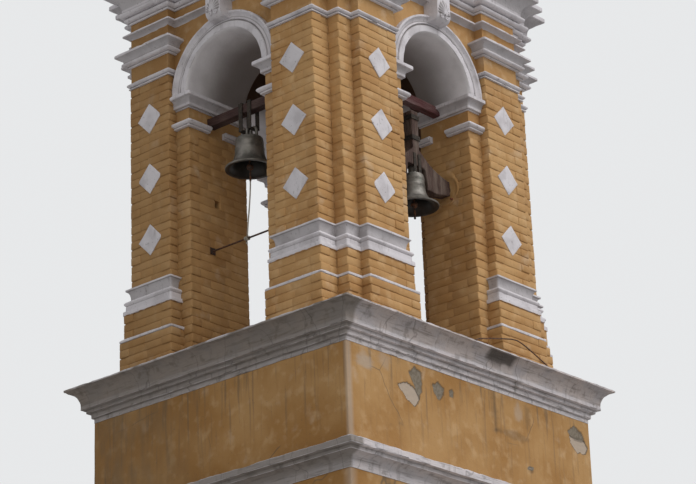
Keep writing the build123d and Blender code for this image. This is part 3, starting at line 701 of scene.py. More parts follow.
def moulding_outline(rows, spacing=0.009):
    """Outline of a moulding from the wall round to the wall: points, outward ways, arris shares."""
    outline, hollows = [np.zeros(2)], []
    reach, level = 0.0, 0.0
    for shape, projection, height in rows:
        if shape == "flat":
            outline += [np.array((projection, level)), np.array((projection, level + height))]
            reach = projection
        if shape == "hollow":
            across = reach + hollow_share[0] * (projection - reach)
            middle = (across, level + hollow_share[1] * height)
            outline += curve_through((reach, level), middle, (projection, level + height))
            hollows.append((level, level + height))
            reach = projection
        if shape == "round":
            back = projection - round_share * height
            outline.append(np.array((back, level)))
            belly = (projection, level + height / 2)
            outline += curve_through((back, level), belly, (back, level + height), 9)
            reach = back
        level += height
    outline.append(np.array((0, level)))
    profile, ways, arris = dressed_outline(outline, spacing)
    # Points in a hollow are marked as recesses, which the paint darkens: painted shade, with some grime
    for low, high in hollows:
        sheltered = (profile[:, 0] > 0) & (profile[:, 1] > low) & (profile[:, 1] < high)
        arris[sheltered] = np.minimum(arris[sheltered], -hollow_shade_and_dirt)
    return profile, ways, arris


def dressed_outline(outline, spacing):
    """Divide an outline finely, and mark its softened arrises with 1 and its recesses with -1."""
    points = [outline[0]]
    for start, end in zip(outline, outline[1:]):
        length = np.linalg.norm(end - start)
        if length < 1e-5:
            continue
        count = max(1, math.ceil(length / spacing))
        points += [start + (end - start) * k / count for k in range(1, count + 1)]
    points = np.array(points)
    ahead = np.diff(points, axis=0)
    ahead = ahead / np.linalg.norm(ahead, axis=1)[:, None]
    bend = ahead[:-1, 0] * ahead[1:, 1] - ahead[:-1, 1] * ahead[1:, 0]
    arris = np.zeros(len(points))
    arris[1:-1] = ease(bend, 0.35, 0.8) - ease(-bend, 0.35, 0.8)
    softened = points.copy()
    softened[1:-1] = 0.7 * points[1:-1] + 0.15 * (points[:-2] + points[2:])
    along = np.gradient(softened, axis=0)
    along = along / np.maximum(np.linalg.norm(along, axis=1), 1e-9)[:, None]
    return softened, np.stack([along[:, 1], -along[:, 0]], axis=1), arris


def put_values(piece, name, values):
    """Store one value for each vertex of a piece, which its paint reads."""
    made = piece.data.attributes.new(name, "FLOAT", "POINT")
    made.data.foreach_set("value", np.asarray(values, np.float32).ravel())


class Sweep:
    """Runs of an outline along plan lines or round arches, gathered into one mesh."""

    def __init__(self):
        self.vertices, self.faces, self.marks = [], [], {}
        self.count = 0

    def run(self, stations, outline, level, wear, closed=False, turn=None, marks=None):
        """One run along a plan line, at a level, turned to a side or corner of the belfry."""
        points, steps, corner_arris = stations
        profile, ways, arris = outline
        if turn is not None:
            steps, points = heading(steps, turn), turned(points, turn)
        steps = np.concatenate([steps, np.zeros((len(steps), 1))], axis=1)
        points = np.concatenate([points, np.full((len(points), 1), level)], axis=1)
        lift = np.array((0, 0, 1))
        rest = points[:, None] + steps[:, None] * profile[:, :1] + lift * profile[:, 1:]
        normal = steps[:, None] * ways[:, :1] + lift * ways[:, 1:]
        pull = -arris_softening * corner_arris[:, None, None] * steps[:, None]
        ends = points[:, None] - steps[:, None] * moulding_back + lift * profile[[-1, 0], 1:]
        self.add(rest, normal, pull, arris, ends, wear, closed, marks)

    def arch(self, angles, outline, radius, face, wear, turn, back=moulding_back):
        """One run round an arch of that radius, on a face that far out from the belfry's middle."""
        profile, ways, arris = outline
        out, across = outward(turn), np.append(heading((1, 0), turn), 0)
        centre = np.array((belfry_x, 0, springing_level)) + out * face
        spokes = np.cos(angles)[:, None] * across + np.sin(angles)[:, None] * np.array((0, 0, 1))
        spokes = spokes[:, None]
        rest = centre + spokes * (radius + profile[:, :1]) + out * profile[:, 1:]
        normal = spokes * ways[:, :1] + out * ways[:, 1:]
        ends = centre + spokes * (radius + profile[[-1, 0], :1]) - out * back
        self.add(rest, normal, 0, arris, ends, wear)

    def add(self, rest, normal, pull, arris, ends, wear, closed=False, marks=None):
        """Add a grid of points with its wear, closed behind by two more points at each station."""
        bend = np.broadcast_to(arris, rest.shape[:2])
        edge = np.maximum(bend, 0)
        spot = rest + normal * wear(rest, edge)[..., None] + pull
        spot = np.concatenate([spot, ends], axis=1)
        rows, columns = spot.shape[:2]
        ids = self.count + np.arange(rows * columns).reshape(rows, columns)
        ahead = np.roll(ids, -1, axis=0) if closed else ids[1:]
        here = ids if closed else ids[:-1]
        quads = [here, ahead, np.roll(ahead, -1, axis=1), np.roll(here, -1, axis=1)]
        self.faces += np.stack(quads, axis=-1).reshape(-1, 4).tolist()
        if not closed:
            self.faces += [ids[0][::-1].tolist(), ids[-1].tolist()]
        self.vertices.append(spot.reshape(-1, 3))
        self.count += rows * columns
        shown = {name: value(rest, edge) for name, value in (marks or {}).items()}
        # Recesses get a value by which the paint darkens them: painted shade, with some grime
        shown["recess_shade_and_dirt"] = np.maximum(-bend, 0)
        for name, values in shown.items():
            padded = np.zeros((rows, columns))
            padded[:, :-2] = values
            self.marks.setdefault(name, []).append(padded.ravel())

    def make(self, name, material, **settings):
        piece = add_piece(name, np.concatenate(self.vertices), self.faces, material, **settings)
        for mark, values in self.marks.items():
            put_values(piece, mark, np.concatenate(values))


def stucco_wear(points, edge):
    """Relief of hand-run stucco: slow waves, small lumps and chipped arrises."""
    waves = 0.0022 * lattice_noise(points, 0.22, 1) + 0.0012 * lattice_noise(points, 0.05, 2)
    chips = ease(lattice_noise(points, 0.075, 3), 0.42, 0.72)
    return waves - 0.0015 - 0.007 * chips * edge


def heavy_wear(points, edge):
    """Relief of the old cornices: deeper waves and lumps, and more lost from the arrises."""
    waves = 0.004 * lattice_noise(points, 0.30, 11) + 0.003 * lattice_noise(points, 0.08, 12)
    lumps = 0.002 * lattice_noise(points, 0.025, 13)
    chips = ease(lattice_noise(points, 0.09, 14), 0.25, 0.62)
    return waves + lumps - 0.005 - 0.013 * chips * edge


# Materials
paint_on_brick = brick_paint()
paint_on_masonry = masonry_paint()
paint_on_shaft = shaft_paint()
paint_white = white_paint()
paint_soffit = soffit_paint()
paint_base = base_paint()
paint_cornice = cornice_paint()
paint_roof = roof_paint()
mortar = floor_mortar()
bell_metal = bronze()
iron = wrought_iron("rusted_wrought_iron", (58, 50, 46), (104, 70, 50))
dark_iron = wrought_iron("blackened_strap_iron", (44, 40, 36), (64, 56, 48))
red_beam = old_wood("red_paint_on_the_upper_beam", "X", (78, 42, 42), (98, 62, 62), (116, 94, 92))
brown_beam = old_wood("brown_paint_on_the_bell_beam", "Y", (52, 34, 32), (70, 48, 44), (92, 76, 70))
headstock_tones = ((60, 41, 35), (84, 66, 58), (116, 102, 92))
grey_headstock = old_wood("worn_paint_on_the_headstock", "Z", *headstock_tones)
peg_wood = old_wood("bare_wood_of_the_pegs", "X", (110, 62, 44), (138, 84, 60), (150, 110, 86))
rope_cotton = cotton_rope()

# Finish of each CAD node that stays. The walls of the shaft and the masonry come besides.
node_finishes = {
    "belfry_floor": mortar, "keystones": paint_white,
    "roof_slab": paint_roof, "dome": paint_roof, "dome_finial": paint_roof,
    "roof_cross": iron, "axle_pins": iron, "axle_bearings": iron, "guard_rod": iron,
    "fixed_bell_clapper": iron, "swing_bell_clapper": iron,
    "headstock_iron": dark_iron, "fixed_bell_straps": dark_iron,
}
for node_name, node_object in cad_nodes.items():
    plain = paint_on_shaft if node_name.startswith("shaft_wall") else paint_on_masonry
    node_object.data.materials.clear()
    node_object.data.materials.append(node_finishes.get(node_name, plain))


# Sooty stretch of the main cornice: across the front, with soft ends
soot_start = (-0.02, 0.06)
soot_end = (0.36, 0.42)


def cornice_marks():
    """Pale arrises and soot of the main cornice, as values that its paint reads."""

    def pale(points, edge):
        top = ease(points[..., 2], belfry_level - 0.022, belfry_level - 0.008)
        worn = ease(lattice_noise(points, 0.06, 21), -0.35, 0.35)
        return np.clip(0.85 * top * worn + 0.45 * edge * worn, 0, 1)

    def sooty(points, edge):
        x, y, z = points[..., 0], points[..., 1], points[..., 2]
        ragged = 0.10 * lattice_noise(points, 0.10, 22)
        here = ease(x + ragged, *soot_start) * (1 - ease(x + ragged, *soot_end))
        front = ease(-y, shaft_half_y + 0.085, shaft_half_y + 0.12)
        low = ease(z + 0.5 * ragged, belfry_level - 0.125, belfry_level - 0.09)
        return 0.85 * here * front * low * (1 - ease(z, belfry_level - 0.03, belfry_level - 0.02))

    return {"arris": pale, "stain": sooty}


def shaft_ring():
    """Plan line round the shaft."""
    half_x, half_y = shaft_half_x, shaft_half_y
    return [(half_x, -half_y), (half_x, half_y), (-half_x, half_y), (-half_x, -half_y)]


# Bare patches on the front wall of the shaft: across from an upright line a little left of its
# middle, and down from the top of the cornice
patches_middle = -0.125
mortar_patches = [
    [(-0.686, -0.381), (-0.618, -0.322), (-0.528, -0.351), (-0.534, -0.500), (-0.571, -0.570),
     (-0.639, -0.462)],
    [(-0.406, -0.424), (-0.333, -0.380), (-0.258, -0.421), (-0.283, -0.504), (-0.333, -0.539),
     (-0.387, -0.481)],
    [(-0.199, -0.423), (-0.157, -0.401), (-0.131, -0.423), (-0.149, -0.474), (-0.186, -0.463)],
    [(1.356, -0.429), (1.457, -0.358), (1.560, -0.396), (1.600, -0.470), (1.470, -0.480)],
]
plaster_patches = [
    [(-0.835, -0.508), (-0.743, -0.476), (-0.641, -0.486), (-0.571, -0.570), (-0.618, -0.654),
     (-0.707, -0.624), (-0.772, -0.569)],
    [(1.390, -0.462), (1.600, -0.462), (1.628, -0.520), (1.597, -0.575), (1.483, -0.591),
     (1.399, -0.519)],
    [(0.800, -0.858), (0.830, -0.852), (0.842, -0.884), (0.806, -0.892)],
]

# Spots on the same wall: across, up, half width, half height and depth
sooty_spots = [
    (0.38, -0.50, 0.045, 0.26, 0.45), (0.82, -0.42, 0.05, 0.16, 0.30),
    (0.62, -0.62, 0.30, 0.05, 0.30),
]
faded_spots = [
    (-1.21, -0.42, 0.11, 0.075, 0.70), (-0.98, -0.36, 0.10, 0.07, 0.42),
    (0.70, -0.40, 0.05, 0.13, 0.50),
]


def on_front(points):
    """Which points lie on the front wall of the shaft."""
    return points[..., 1] < 0.005 - shaft_half_y


def reach_inside(across, up, outline):
    """Distance to the edge of an outline, positive inside it."""
    spot = np.stack([across, up], axis=-1)
    corners = np.array(outline)
    nearest = np.full(across.shape, np.inf)
    inside = np.zeros(across.shape, bool)
    for start, end in zip(corners, np.roll(corners, -1, axis=0)):
        edge = end - start
        share = np.clip((spot - start) @ edge / (edge @ edge), 0, 1)[..., None]
        nearest = np.minimum(nearest, np.linalg.norm(spot - start - share * edge, axis=-1))
        level_share = (up - start[1]) / (edge[1] if edge[1] else 1e-9)
        crossed = ((start[1] > up) != (end[1] > up)) & (across < start[0] + level_share * edge[0])
        inside = inside ^ crossed
    return np.where(inside, nearest, -nearest)


def patch_reach(points, outlines):
    """Distance inside the nearest of some patches of the front wall, with ragged edges."""
    across, up = points[..., 0] - patches_middle, points[..., 2] - belfry_level
    reach = np.max([reach_inside(across, up, outline) for outline in outlines], axis=0)
    ragged = 0.009 * lattice_noise(points, 0.035, 81) + 0.005 * lattice_noise(points, 0.014, 82)
    return np.where(on_front(points), reach + ragged, -1.0)


def coat_wear(points, edge):
    """Relief of the shaft's plaster: trowelled waves, and hollows where it has fallen off."""
    waves = 0.0012 * lattice_noise(points, 0.40, 83) + 0.0006 * lattice_noise(points, 0.10, 84)
    fallen = ease(patch_reach(points, mortar_patches), -0.002, 0.006)
    thin = ease(patch_reach(points, plaster_patches), -0.002, 0.006)
    rough = 0.0012 * lattice_noise(points, 0.022, 85)
    return waves - 0.0062 * fallen - 0.0045 * thin * (1 - fallen) + rough * (fallen + thin)


def coat_marks():
    """Bare, stained and faded places of the shaft's plaster, as values that its paint reads."""

    def bare(points, edge):
        mortared = ease(patch_reach(points, mortar_patches), 0, 0.006)
        plastered = ease(patch_reach(points, plaster_patches), 0, 0.006) * (1 - mortared)
        return mortared + 2 * plastered

    def spots(points, places):
        lift = 0.35 * lattice_noise(points, 0.06, 86) + 0.2 * lattice_noise(points, 0.02, 87)
        total = 0
        for across, up, wide, high, depth in places:
            x = (points[..., 0] - patches_middle - across) / wide
            z = (points[..., 2] - belfry_level - up) / high
            total = total + depth * (1 - ease(np.hypot(x, z) + lift, 0.45, 1))
        return np.where(on_front(points), total, 0)

    def stain(points, edge):
        rims = 0
        for outlines in (mortar_patches, plaster_patches):
            reach = patch_reach(points, outlines)
            rims = rims + 0.6 * ease(reach, -0.009, 0) * (1 - ease(reach, 0, 0.007))
        return np.clip(rims + spots(points, sooty_spots), 0, 1)

    def faded(points, edge):
        ragged = 0.018 * lattice_noise(points, 0.12, 88) + 0.006 * lattice_noise(points, 0.03, 89)
        from_corner = points[..., 0] + shaft_half_x + ragged
        arris = np.where(on_front(points), 1 - ease(from_corner, 0.045, 0.058), 0)
        return np.clip(0.6 * arris + spots(points, faded_spots), 0, 0.85)

    return {"bare": bare, "stain": stain, "faded": faded}


def add_coat(name, corners, spacings, levels, foot):
    """Plaster round the shaft, a little proud of it, divided at levels over its foot."""
    rows = [(0, levels[0])] + [(coat_proud, level) for level in levels] + [(0, levels[-1])]
    outline = np.array(rows), np.tile((1.0, 0.0), (len(rows), 1)), np.zeros(len(rows))
    stations = lay_stations(corners, spacings, closed=True)
    coat = Sweep()
    coat.run(stations, outline, foot, coat_wear, closed=True, marks=coat_marks())
    coat.make(name, paint_on_shaft, slot="ochre_plaster")


def build_shaft_coats():
    """Plaster of the shaft, finely divided where patches of it have fallen off."""
    fine, even, plain, wide = 0.009, 0.034, 0.024, 0.085
    patches_height = 0.40
    patches_left, patches_right, right_patches_left = -1.00, -0.22, 1.19
    string_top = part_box("string_course")[1].z
    height = cornice_level - string_top
    below, above = height - patches_height, height
    levels = np.concatenate([np.arange(0, below, plain), np.arange(below, above, fine), [above]])
    ring = shaft_ring()
    front = [(x, -shaft_half_y) for x in (patches_left, patches_right, right_patches_left)]
    spacings = [even, even, even, even, fine, even, fine]
    add_coat("plaster_below_the_cornice", ring + front, spacings, levels, string_top)
    levels = np.linspace(0, string_level, round(string_level / wide) + 1)
    add_coat("plaster_of_the_lower_shaft", ring, wide, levels, 0)


def build_cornices():
    """The main cornice and the string course: rows, outline and station spacings, level, marks."""
    clean = {"arris": lambda points, edge: 0.7 * edge, "stain": lambda points, edge: 0 * edge}
    runs = {
        "main_cornice": (main_cornice_rows, 0.011, 0.026, cornice_level, cornice_marks()),
        "string_course": (string_course_rows, 0.012, 0.032, string_level, clean),
    }
    for node_name, (rows, fine, spacing, level, marks) in runs.items():
        line = lay_stations(shaft_ring(), spacing, closed=True)
        moulding = Sweep()
        outline = moulding_outline(rows, fine)
        moulding.run(line, outline, level, heavy_wear, closed=True, marks=marks)
        moulding.make("worn_" + node_name, paint_cornice, slot="grey_stucco", stands_for=[node_name])


def build_belfry_mouldings():
    """Mouldings that run round each corner: rows, level, start beside an opening, spacing."""
    runs = {
        "neckings": (necking_rows, necking_level, pilaster_inner, 0.022),
        "capitals": (capital_rows, capital_level, pilaster_inner, 0.022),
        "frieze_band": (band_rows, band_level, keystone_half, 0.024),
        "top_cornice": (top_cornice_rows, top_cornice_level, 0, 0.028),
    }
    for node_name, (rows, level, start, spacing) in runs.items():
        outline = moulding_outline(rows)
        moulding = Sweep()
        for sides in corner_sides.values():
            line = lay_stations(pier_corners(start, sides), spacing)
            moulding.run(line, outline, level, stucco_wear, turn=side_turns[sides[0]])
        moulding.make("worn_" + node_name, paint_white, slot="white_stucco", stands_for=[node_name])
    outline = moulding_outline(pilaster_base_rows, 0.011)
    for corner, sides in corner_sides.items():
        line = lay_stations(pier_corners(pilaster_inner, sides), 0.022)
        base = Sweep()
        base.run(line, outline, base_level, stucco_wear, turn=side_turns[sides[0]])
        node_name = "pier_base_" + corner
        base.make("worn_base_" + corner, paint_base, slot="white_stucco", stands_for=[node_name])


def mirrored(line):
    """A plan line on the other side of its opening."""
    return [(-x, y) for x, y in reversed(line)]


def jamb_line(side):
    """The left plan line of an opening: along the strip of wall, and through the jamb."""
    wall = wall_distance[side]
    return [(-pilaster_inner, -wall), (-opening_half, -wall), (-opening_half, -inner_half)]


def build_imposts():
    """Imposts through the openings, and astragals below them that are broken on two sides."""
    impost, astragal = Sweep(), Sweep()
    impost_outline = moulding_outline(impost_rows)
    astragal_outline = moulding_outline(astragal_rows, 0.007)
    for side, turn in side_turns.items():
        left = jamb_line(side)
        for line in (left, mirrored(left)):
            stations = lay_stations(line, 0.020)
            impost.run(stations, impost_outline, impost_level, stucco_wear, turn=turn)
        lines = [left]
        if side in ("front", "left"):
            gap_start, gap_end = (depth - wall_distance[side] for depth in astragal_gap)
            lines = [[left[0], left[1], (left[1][0], gap_start)], [(left[1][0], gap_end), left[2]]]
        for line in lines + [mirrored(line) for line in lines]:
            stations = lay_stations(line, 0.018)
            astragal.run(stations, astragal_outline, astragal_level, stucco_wear, turn=turn)
    impost.make("worn_imposts", paint_white, slot="white_stucco", stands_for=["imposts"])
    astragal.make("worn_astragals", paint_white, slot="white_stucco", stands_for=["astragals"])


def archivolt_outline():
    """Outline of an archivolt: reach from the inner edge of the ring, and projection."""
    inner_band = ((0, 0), (0, 0.044), (0.058, 0.044), (0.062, 0.028), (0.070, 0.028))
    ring = [np.array(point) for point in inner_band]
    ring += curve_through((0.070, 0.036), (0.077, 0.042), (0.084, 0.036), 5)
    ring += curve_through((0.086, 0.030), (0.108, 0.030), (0.128, 0.050), 6)
    ring += [np.array(point) for point in ((0.130, 0.056), (0.152, 0.056), (0.154, 0))]
    profile, ways, arris = dressed_outline(ring, 0.009)
    return profile, -ways, -arris


def build_arches():
    """Archivolts on the four faces, and the white plaster under the arches."""
    angles = np.linspace(0, math.pi, 97)
    ring, lining = Sweep(), Sweep()
    for side, turn in side_turns.items():
        wall = wall_distance[side]
        depth = wall - inner_half
        coat = [(0.003, 0.040), (-0.006, 0.036), (-0.006, 0.004 - depth), (0.003, -depth)]
        coat = dressed_outline([np.array(point) for point in coat], 0.030)
        ring.arch(angles, archivolt_outline(), opening_half, wall, stucco_wear, turn)
        lining.arch(angles, coat, opening_half, wall, plaster_wear, turn, back=depth / 2)
    ring.make("worn_archivolts", paint_white, slot="white_stucco", stands_for=["archivolts"])
    lining.make("soffit_plaster", paint_soffit, slot="white_stucco")


def plaster_wear(points, edge):
    """Relief of hand-laid plaster."""
    waves = 0.003 * lattice_noise(points, 0.30, 31) + 0.0015 * lattice_noise(points, 0.09, 32)
    return waves - 0.002 * edge


def grid_faces(ids):
    """Quads between the rows and columns of a grid of vertex numbers."""
    quads = [ids[:-1, :-1], ids[1:, :-1], ids[1:, 1:], ids[:-1, 1:]]
    return np.stack(quads, axis=-1).reshape(-1, 4).tolist()


def rim_of(ids):
    """Vertex numbers round the edge of a grid."""
    return np.concatenate([ids[:-1, 0], ids[-1, :-1], ids[:0:-1, -1], ids[0, :0:-1]])


class Plates:
    """Thin plates with a lumpy front, gathered into one mesh."""

    def __init__(self):
        self.vertices, self.faces, self.count = [], [], 0

    def add(self, flat, out, relief):
        """One plate on a flat grid of points: its relief before them, and a flat back behind."""
        size = flat.shape[0] * flat.shape[1]
        ids = self.count + np.arange(size).reshape(flat.shape[:2])
        rim = rim_of(ids)
        self.faces += grid_faces(ids) + grid_faces(ids + size)
        self.faces += [[a, b, b + size, a + size] for a, b in zip(rim, np.roll(rim, -1))]
        for spot in (flat + out * relief[..., None], flat - out * plate_sunk):
            self.vertices.append(spot.reshape(-1, 3))
        self.count += 2 * size

    def make(self, name, **settings):
        vertices = np.concatenate(self.vertices)
        return add_piece(name, vertices, self.faces, paint_white, slot="white_stucco", **settings)


def build_lozenges():
    """White plaster lozenges on the pilasters, slightly lumpy, with chipped edges."""
    cuts, chip_share, lump, rim_drop = 13, 0.02, 0.0015, 0.003
    share = np.linspace(-1, 1, cuts)
    u, v = np.meshgrid(share, share, indexing="ij")
    rim = ease(np.maximum(abs(u), abs(v)), 0.86, 1)
    middle = (pilaster_outer + pilaster_inner) / 2
    half_width = (pilaster_outer - pilaster_inner) / 2 - lozenge_side_margin
    half_rise = lozenge_height / 2
    pitch = (lozenge_high.z - lozenge_low.z - lozenge_height) / (lozenge_count - 1)
    plates = Plates()
    for side, turn in side_turns.items():
        face = wall_distance[side] + pilaster_projection
        for across, index in itertools.product((-middle, middle), range(lozenge_count)):
            plan = [across + (u - v) / 2 * half_width, np.full(u.shape, -face)]
            level = lozenge_low.z + half_rise + pitch * index + (u + v) / 2 * half_rise
            flat = np.dstack([turned(np.dstack(plan), turn), level])
            centre = flat[cuts // 2, cuts // 2]
            chipped = chip_share * rim * (0.6 + lattice_noise(flat, 0.05, 41))
            flat = centre + (flat - centre) * (1 - chipped)[..., None]
            relief = lozenge_relief + lump * lattice_noise(flat, 0.06, 42) - rim_drop * rim
            plates.add(flat, outward(turn), relief)
    plates.make("white_lozenges", stands_for=["lozenges"])


def build_shells():
    """A scallop shell over two small scrolls on the front of each keystone."""
    ribs, half_width, rise, widest = 9, 0.081, 0.152, math.radians(82)
    curl_reach, scroll_bar, scroll_turns, scroll_lift = 0.021, 0.0075, 1.6, 0.004
    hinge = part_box("keystones")[0].z + 0.050
    angles = np.linspace(-widest, widest, 91)
    angle, share = np.meshgrid(angles, np.linspace(0.10, 1, 15), indexing="ij")
    rib = np.sin(math.pi * ribs * (angle / (2 * widest) + 0.5)) ** 2
    reach = 1 / np.hypot(np.sin(angle) / half_width, np.cos(angle) / rise)
    reach = reach * share * (0.93 + 0.07 * np.sqrt(rib))
    across, level = reach * np.sin(angle), hinge + reach * np.cos(angle)
    bulge = 0.010 + 0.016 * np.sin(math.pi * share**0.8)
    relief = bulge - 0.013 * (1 - rib) * ease(share, 0.1, 0.7) - 0.004 * ease(share, 0.93, 1)
    # Painted shade, with some grime, in the grooves between the ribs
    groove_shade_and_dirt = (1 - rib) * ease(share, 0.2, 0.7)
    plates, scrolls = Plates(), []
    for side_name, turn in side_turns.items():
        face = wall_distance[side_name] + keystone_projection
        plan = np.dstack([across, np.full(across.shape, -face)])
        plates.add(np.dstack([turned(plan, turn), level]), outward(turn), relief)
        for side in (-1, 1):
            way = np.linspace(0, scroll_turns * 2 * math.pi, 44)
            curl = curl_reach - 0.0155 * way / way[-1]
            plan = [side * (0.031 + curl * np.cos(way)), np.full(way.shape, -face)]
            plan = turned(np.stack(plan, axis=-1), turn)
            line = np.column_stack([plan, hinge - 0.013 + curl * np.sin(way)])
            thickness = scroll_bar - 0.0025 * way / way[-1]
            scrolls.append(tube(line + outward(turn) * scroll_lift, thickness, 8))
    shells = plates.make("shells_of_the_keystones")
    put_values(shells, "recess_shade_and_dirt", np.tile(groove_shade_and_dirt.ravel(), 2 * len(side_turns)))
    vertices, faces = gather(scrolls)
    add_piece("scrolls_of_the_keystones", vertices, faces, paint_white, slot="white_stucco")


def build_bearing_plaster():
    """Smooth plaster on the jambs round the bearings of the swinging bell, thin where it turns."""
    angle = np.linspace(0, 2 * math.pi, 72, endpoint=False)
    share = np.linspace(0, 1, 10)
    inner, outer_low, outer_rise, sunk = 0.047, 0.135, 0.045, 0.012
    thin, thicker, clearance, run_up = 0.0045, 0.0095, 0.055, 0.022
    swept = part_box("headstock")[1].y - axle.y + clearance
    parts = []
    for side in (-1, 1):
        jamb = belfry_x + side * opening_half
        ring = np.stack([np.full(angle.shape, jamb), np.cos(angle), np.sin(angle)], axis=-1)
        rough = 1 + 0.08 * lattice_noise(3 * ring, 1.1, 91 + side)
        outer = (outer_low + outer_rise * np.maximum(0, np.sin(angle)) ** 2) * rough
        reach = inner + (outer[:, None] - inner) * share
        thickness = thin + thicker * ease(reach, swept, swept + run_up)
        thickness = thickness * (1 - 0.55 * ease(share, 0.85, 1))[None, :]
        y = axle.y + reach * np.cos(angle)[:, None]
        z = axle.z + reach * np.sin(angle)[:, None]
        front = np.dstack([jamb - side * thickness, y, z])
        back = np.dstack([np.full(y.shape, jamb + side * sunk), y, z])
        section = np.concatenate([front, back[:, ::-1]], axis=1)
        ids = np.arange(section.shape[0] * section.shape[1]).reshape(section.shape[:2])
        ids = np.vstack([ids, ids[:1]])
        ids = np.hstack([ids, ids[:, :1]])
        parts.append((section.reshape(-1, 3), grid_faces(ids)))
    vertices, faces = gather(parts)
    add_piece("plaster_round_the_bearings", vertices, faces, paint_on_masonry, slot="ochre_brick")


def build_pegs():
    """Wooden pegs beside the bearings."""
    sunk, length, below, behind = 0.05, 0.085, 0.088, 0.066
    stops = np.linspace(0, 1, 9)
    radius = 0.0115 - 0.003 * stops + 0.0006 * np.sin(9 * stops)
    parts = []
    for side in (-1, 1):
        x = belfry_x + side * opening_half + side * (sunk - length * stops)
        y = np.full(len(stops), axle.y - behind)
        parts.append(tube(np.column_stack([x, y, axle.z - below - 0.006 * stops]), radius, 9))
    vertices, faces = gather(parts)
    add_piece("wooden_pegs", vertices, faces, peg_wood, slot="old_timber", crease=30)


def build_bent_rod():
    """Bent iron rod set in the mortar on the front edge of the cornice."""
    stops = [np.array((x, bent_rod_y, belfry_level + height)) for x, height in bent_rod_stops]
    line = [stops[0]]
    for before, here, after in zip(stops, stops[1:], stops[2:]):
        start = 0.6 * here + 0.4 * before
        end = 0.6 * here + 0.4 * after
        line.append(start)
        line += curve_through(start, 0.5 * here + 0.25 * (start + end), end, 6)
    line.append(stops[-1])
    vertices, faces = tube(line, 0.0055, 10)
    add_piece("bent_rod_on_the_cornice", vertices, faces, iron, slot="iron")


def lathe(outline, foot, segments=lathe_segments):
    """Vertices and faces of an outline (radius, height) turned about an upright axis.

    The outline starts and ends on the axis.
    """
    radius, height = np.array(outline[1:-1]).T
    angle = np.linspace(0, 2 * math.pi, segments, endpoint=False)
    ring = np.stack([np.cos(angle), np.sin(angle)], axis=-1)
    spot = np.empty((segments, len(radius), 3))
    spot[..., :2] = ring[:, None] * radius[None, :, None]
    spot[..., 2] = height
    poles = np.array([(0, 0, outline[0][1]), (0, 0, outline[-1][1])])
    vertices = np.concatenate([spot.reshape(-1, 3), poles]) + np.array(foot)
    ids = np.arange(segments * len(radius)).reshape(segments, -1)
    ids = np.vstack([ids, ids[:1]])
    first, last = segments * len(radius), segments * len(radius) + 1
    faces = grid_faces(ids)
    faces += [[first, a, b] for a, b in zip(ids[:-1, 0], ids[1:, 0])]
    faces += [[last, b, a] for a, b in zip(ids[:-1, -1], ids[1:, -1])]
    return vertices, faces


def tube(points, radius, sides=10, closed=False):
    """Vertices and faces of a round bar along points. radius is one value or one at each point."""
    points = np.asarray(points, float)
    along = np.gradient(points, axis=0)
    if closed:
        along = np.roll(points, -1, axis=0) - np.roll(points, 1, axis=0)
    along = along / np.linalg.norm(along, axis=1)[:, None]
    side = np.cross(along[0], (0.31, 0.52, 0.79))
    sides_way = []
    for way in along:
        side = side - way * np.dot(side, way)
        side = side / np.linalg.norm(side)
        sides_way.append(side)
    sides_way = np.array(sides_way)
    other = np.cross(along, sides_way)
    angle = np.linspace(0, 2 * math.pi, sides, endpoint=False)
    reach = np.broadcast_to(radius, len(points))[:, None, None]
    cosine, sine = np.cos(angle)[None, :, None], np.sin(angle)[None, :, None]
    spot = points[:, None] + reach * (cosine * sides_way[:, None] + sine * other[:, None])
    ids = np.arange(len(points) * sides).reshape(len(points), sides)
    wide = np.hstack([ids, ids[:, :1]])
    faces = grid_faces(np.vstack([wide, wide[:1]]) if closed else wide)
    if not closed:
        faces += [ids[0].tolist(), ids[-1][::-1].tolist()]
    return spot.reshape(-1, 3), faces


def gather(parts):
    """Several lists of vertices and faces as one."""
    vertices, faces, count = [], [], 0
    for part_vertices, part_faces in parts:
        vertices.append(part_vertices)
        faces += [[count + index for index in face] for face in part_faces]
        count += len(part_vertices)
    return np.concatenate(vertices), faces


def bell_outline(radius, body, shoulder):
    """Outline of a cast bell from its crown down to the lip and back up inside, with its beads."""
    waist = shoulder + bell_waist_flare
    flare = radius - waist
    waist_height = 0.58 * body
    lip_edge, shoulder_round, crown = 0.014, 0.024, 0.020
    outer = [np.array((0, body)), np.array((shoulder - shoulder_round, body))]
    corner = (shoulder - 0.3 * shoulder_round, body - 0.3 * shoulder_round)
    outer += curve_through(outer[-1], corner, (shoulder, body - shoulder_round))
    outer.append(np.array((waist, waist_height)))
    bow = (waist + 0.28 * flare, 0.24 * body)
    outer += curve_through((waist, waist_height), bow, (radius, lip_edge), 24)
    outer += [np.array((radius - 0.003, 0)), np.array((radius - bell_lip_wall, 0.004))]
    inside = waist - bell_wall
    bow = (inside + 0.26 * flare, 0.22 * body)
    inner = curve_through(outer[-1], bow, (inside, waist_height), 16)
    inner += [np.array((shoulder - bell_wall, body - crown - shoulder_round))]
    inner.append(np.array((shoulder - bell_wall - shoulder_round, body - crown)))
    inner.append(np.array((0, body - crown)))
    profile = dressed_outline(outer + inner, 0.004)[0]
    beads = [(0.065, 0.0035), (0.115, 0.0025), (0.19, 0.002), (0.60, 0.0025), (0.635, 0.0035)]
    beads += [(0.80, 0.0025), (0.835, 0.004), (0.87, 0.0025)]
    for height, relief in beads:
        hump = np.exp(-(((profile[:, 1] - height * body) / 0.005) ** 2))
        hump[profile[:, 0] < shoulder - 0.006] = 0
        outside = np.arange(len(profile)) < len(profile) // 2
        profile[:, 0] += np.where(outside, relief * hump, 0)
    profile[0, 0] = profile[-1, 0] = 0
    return profile


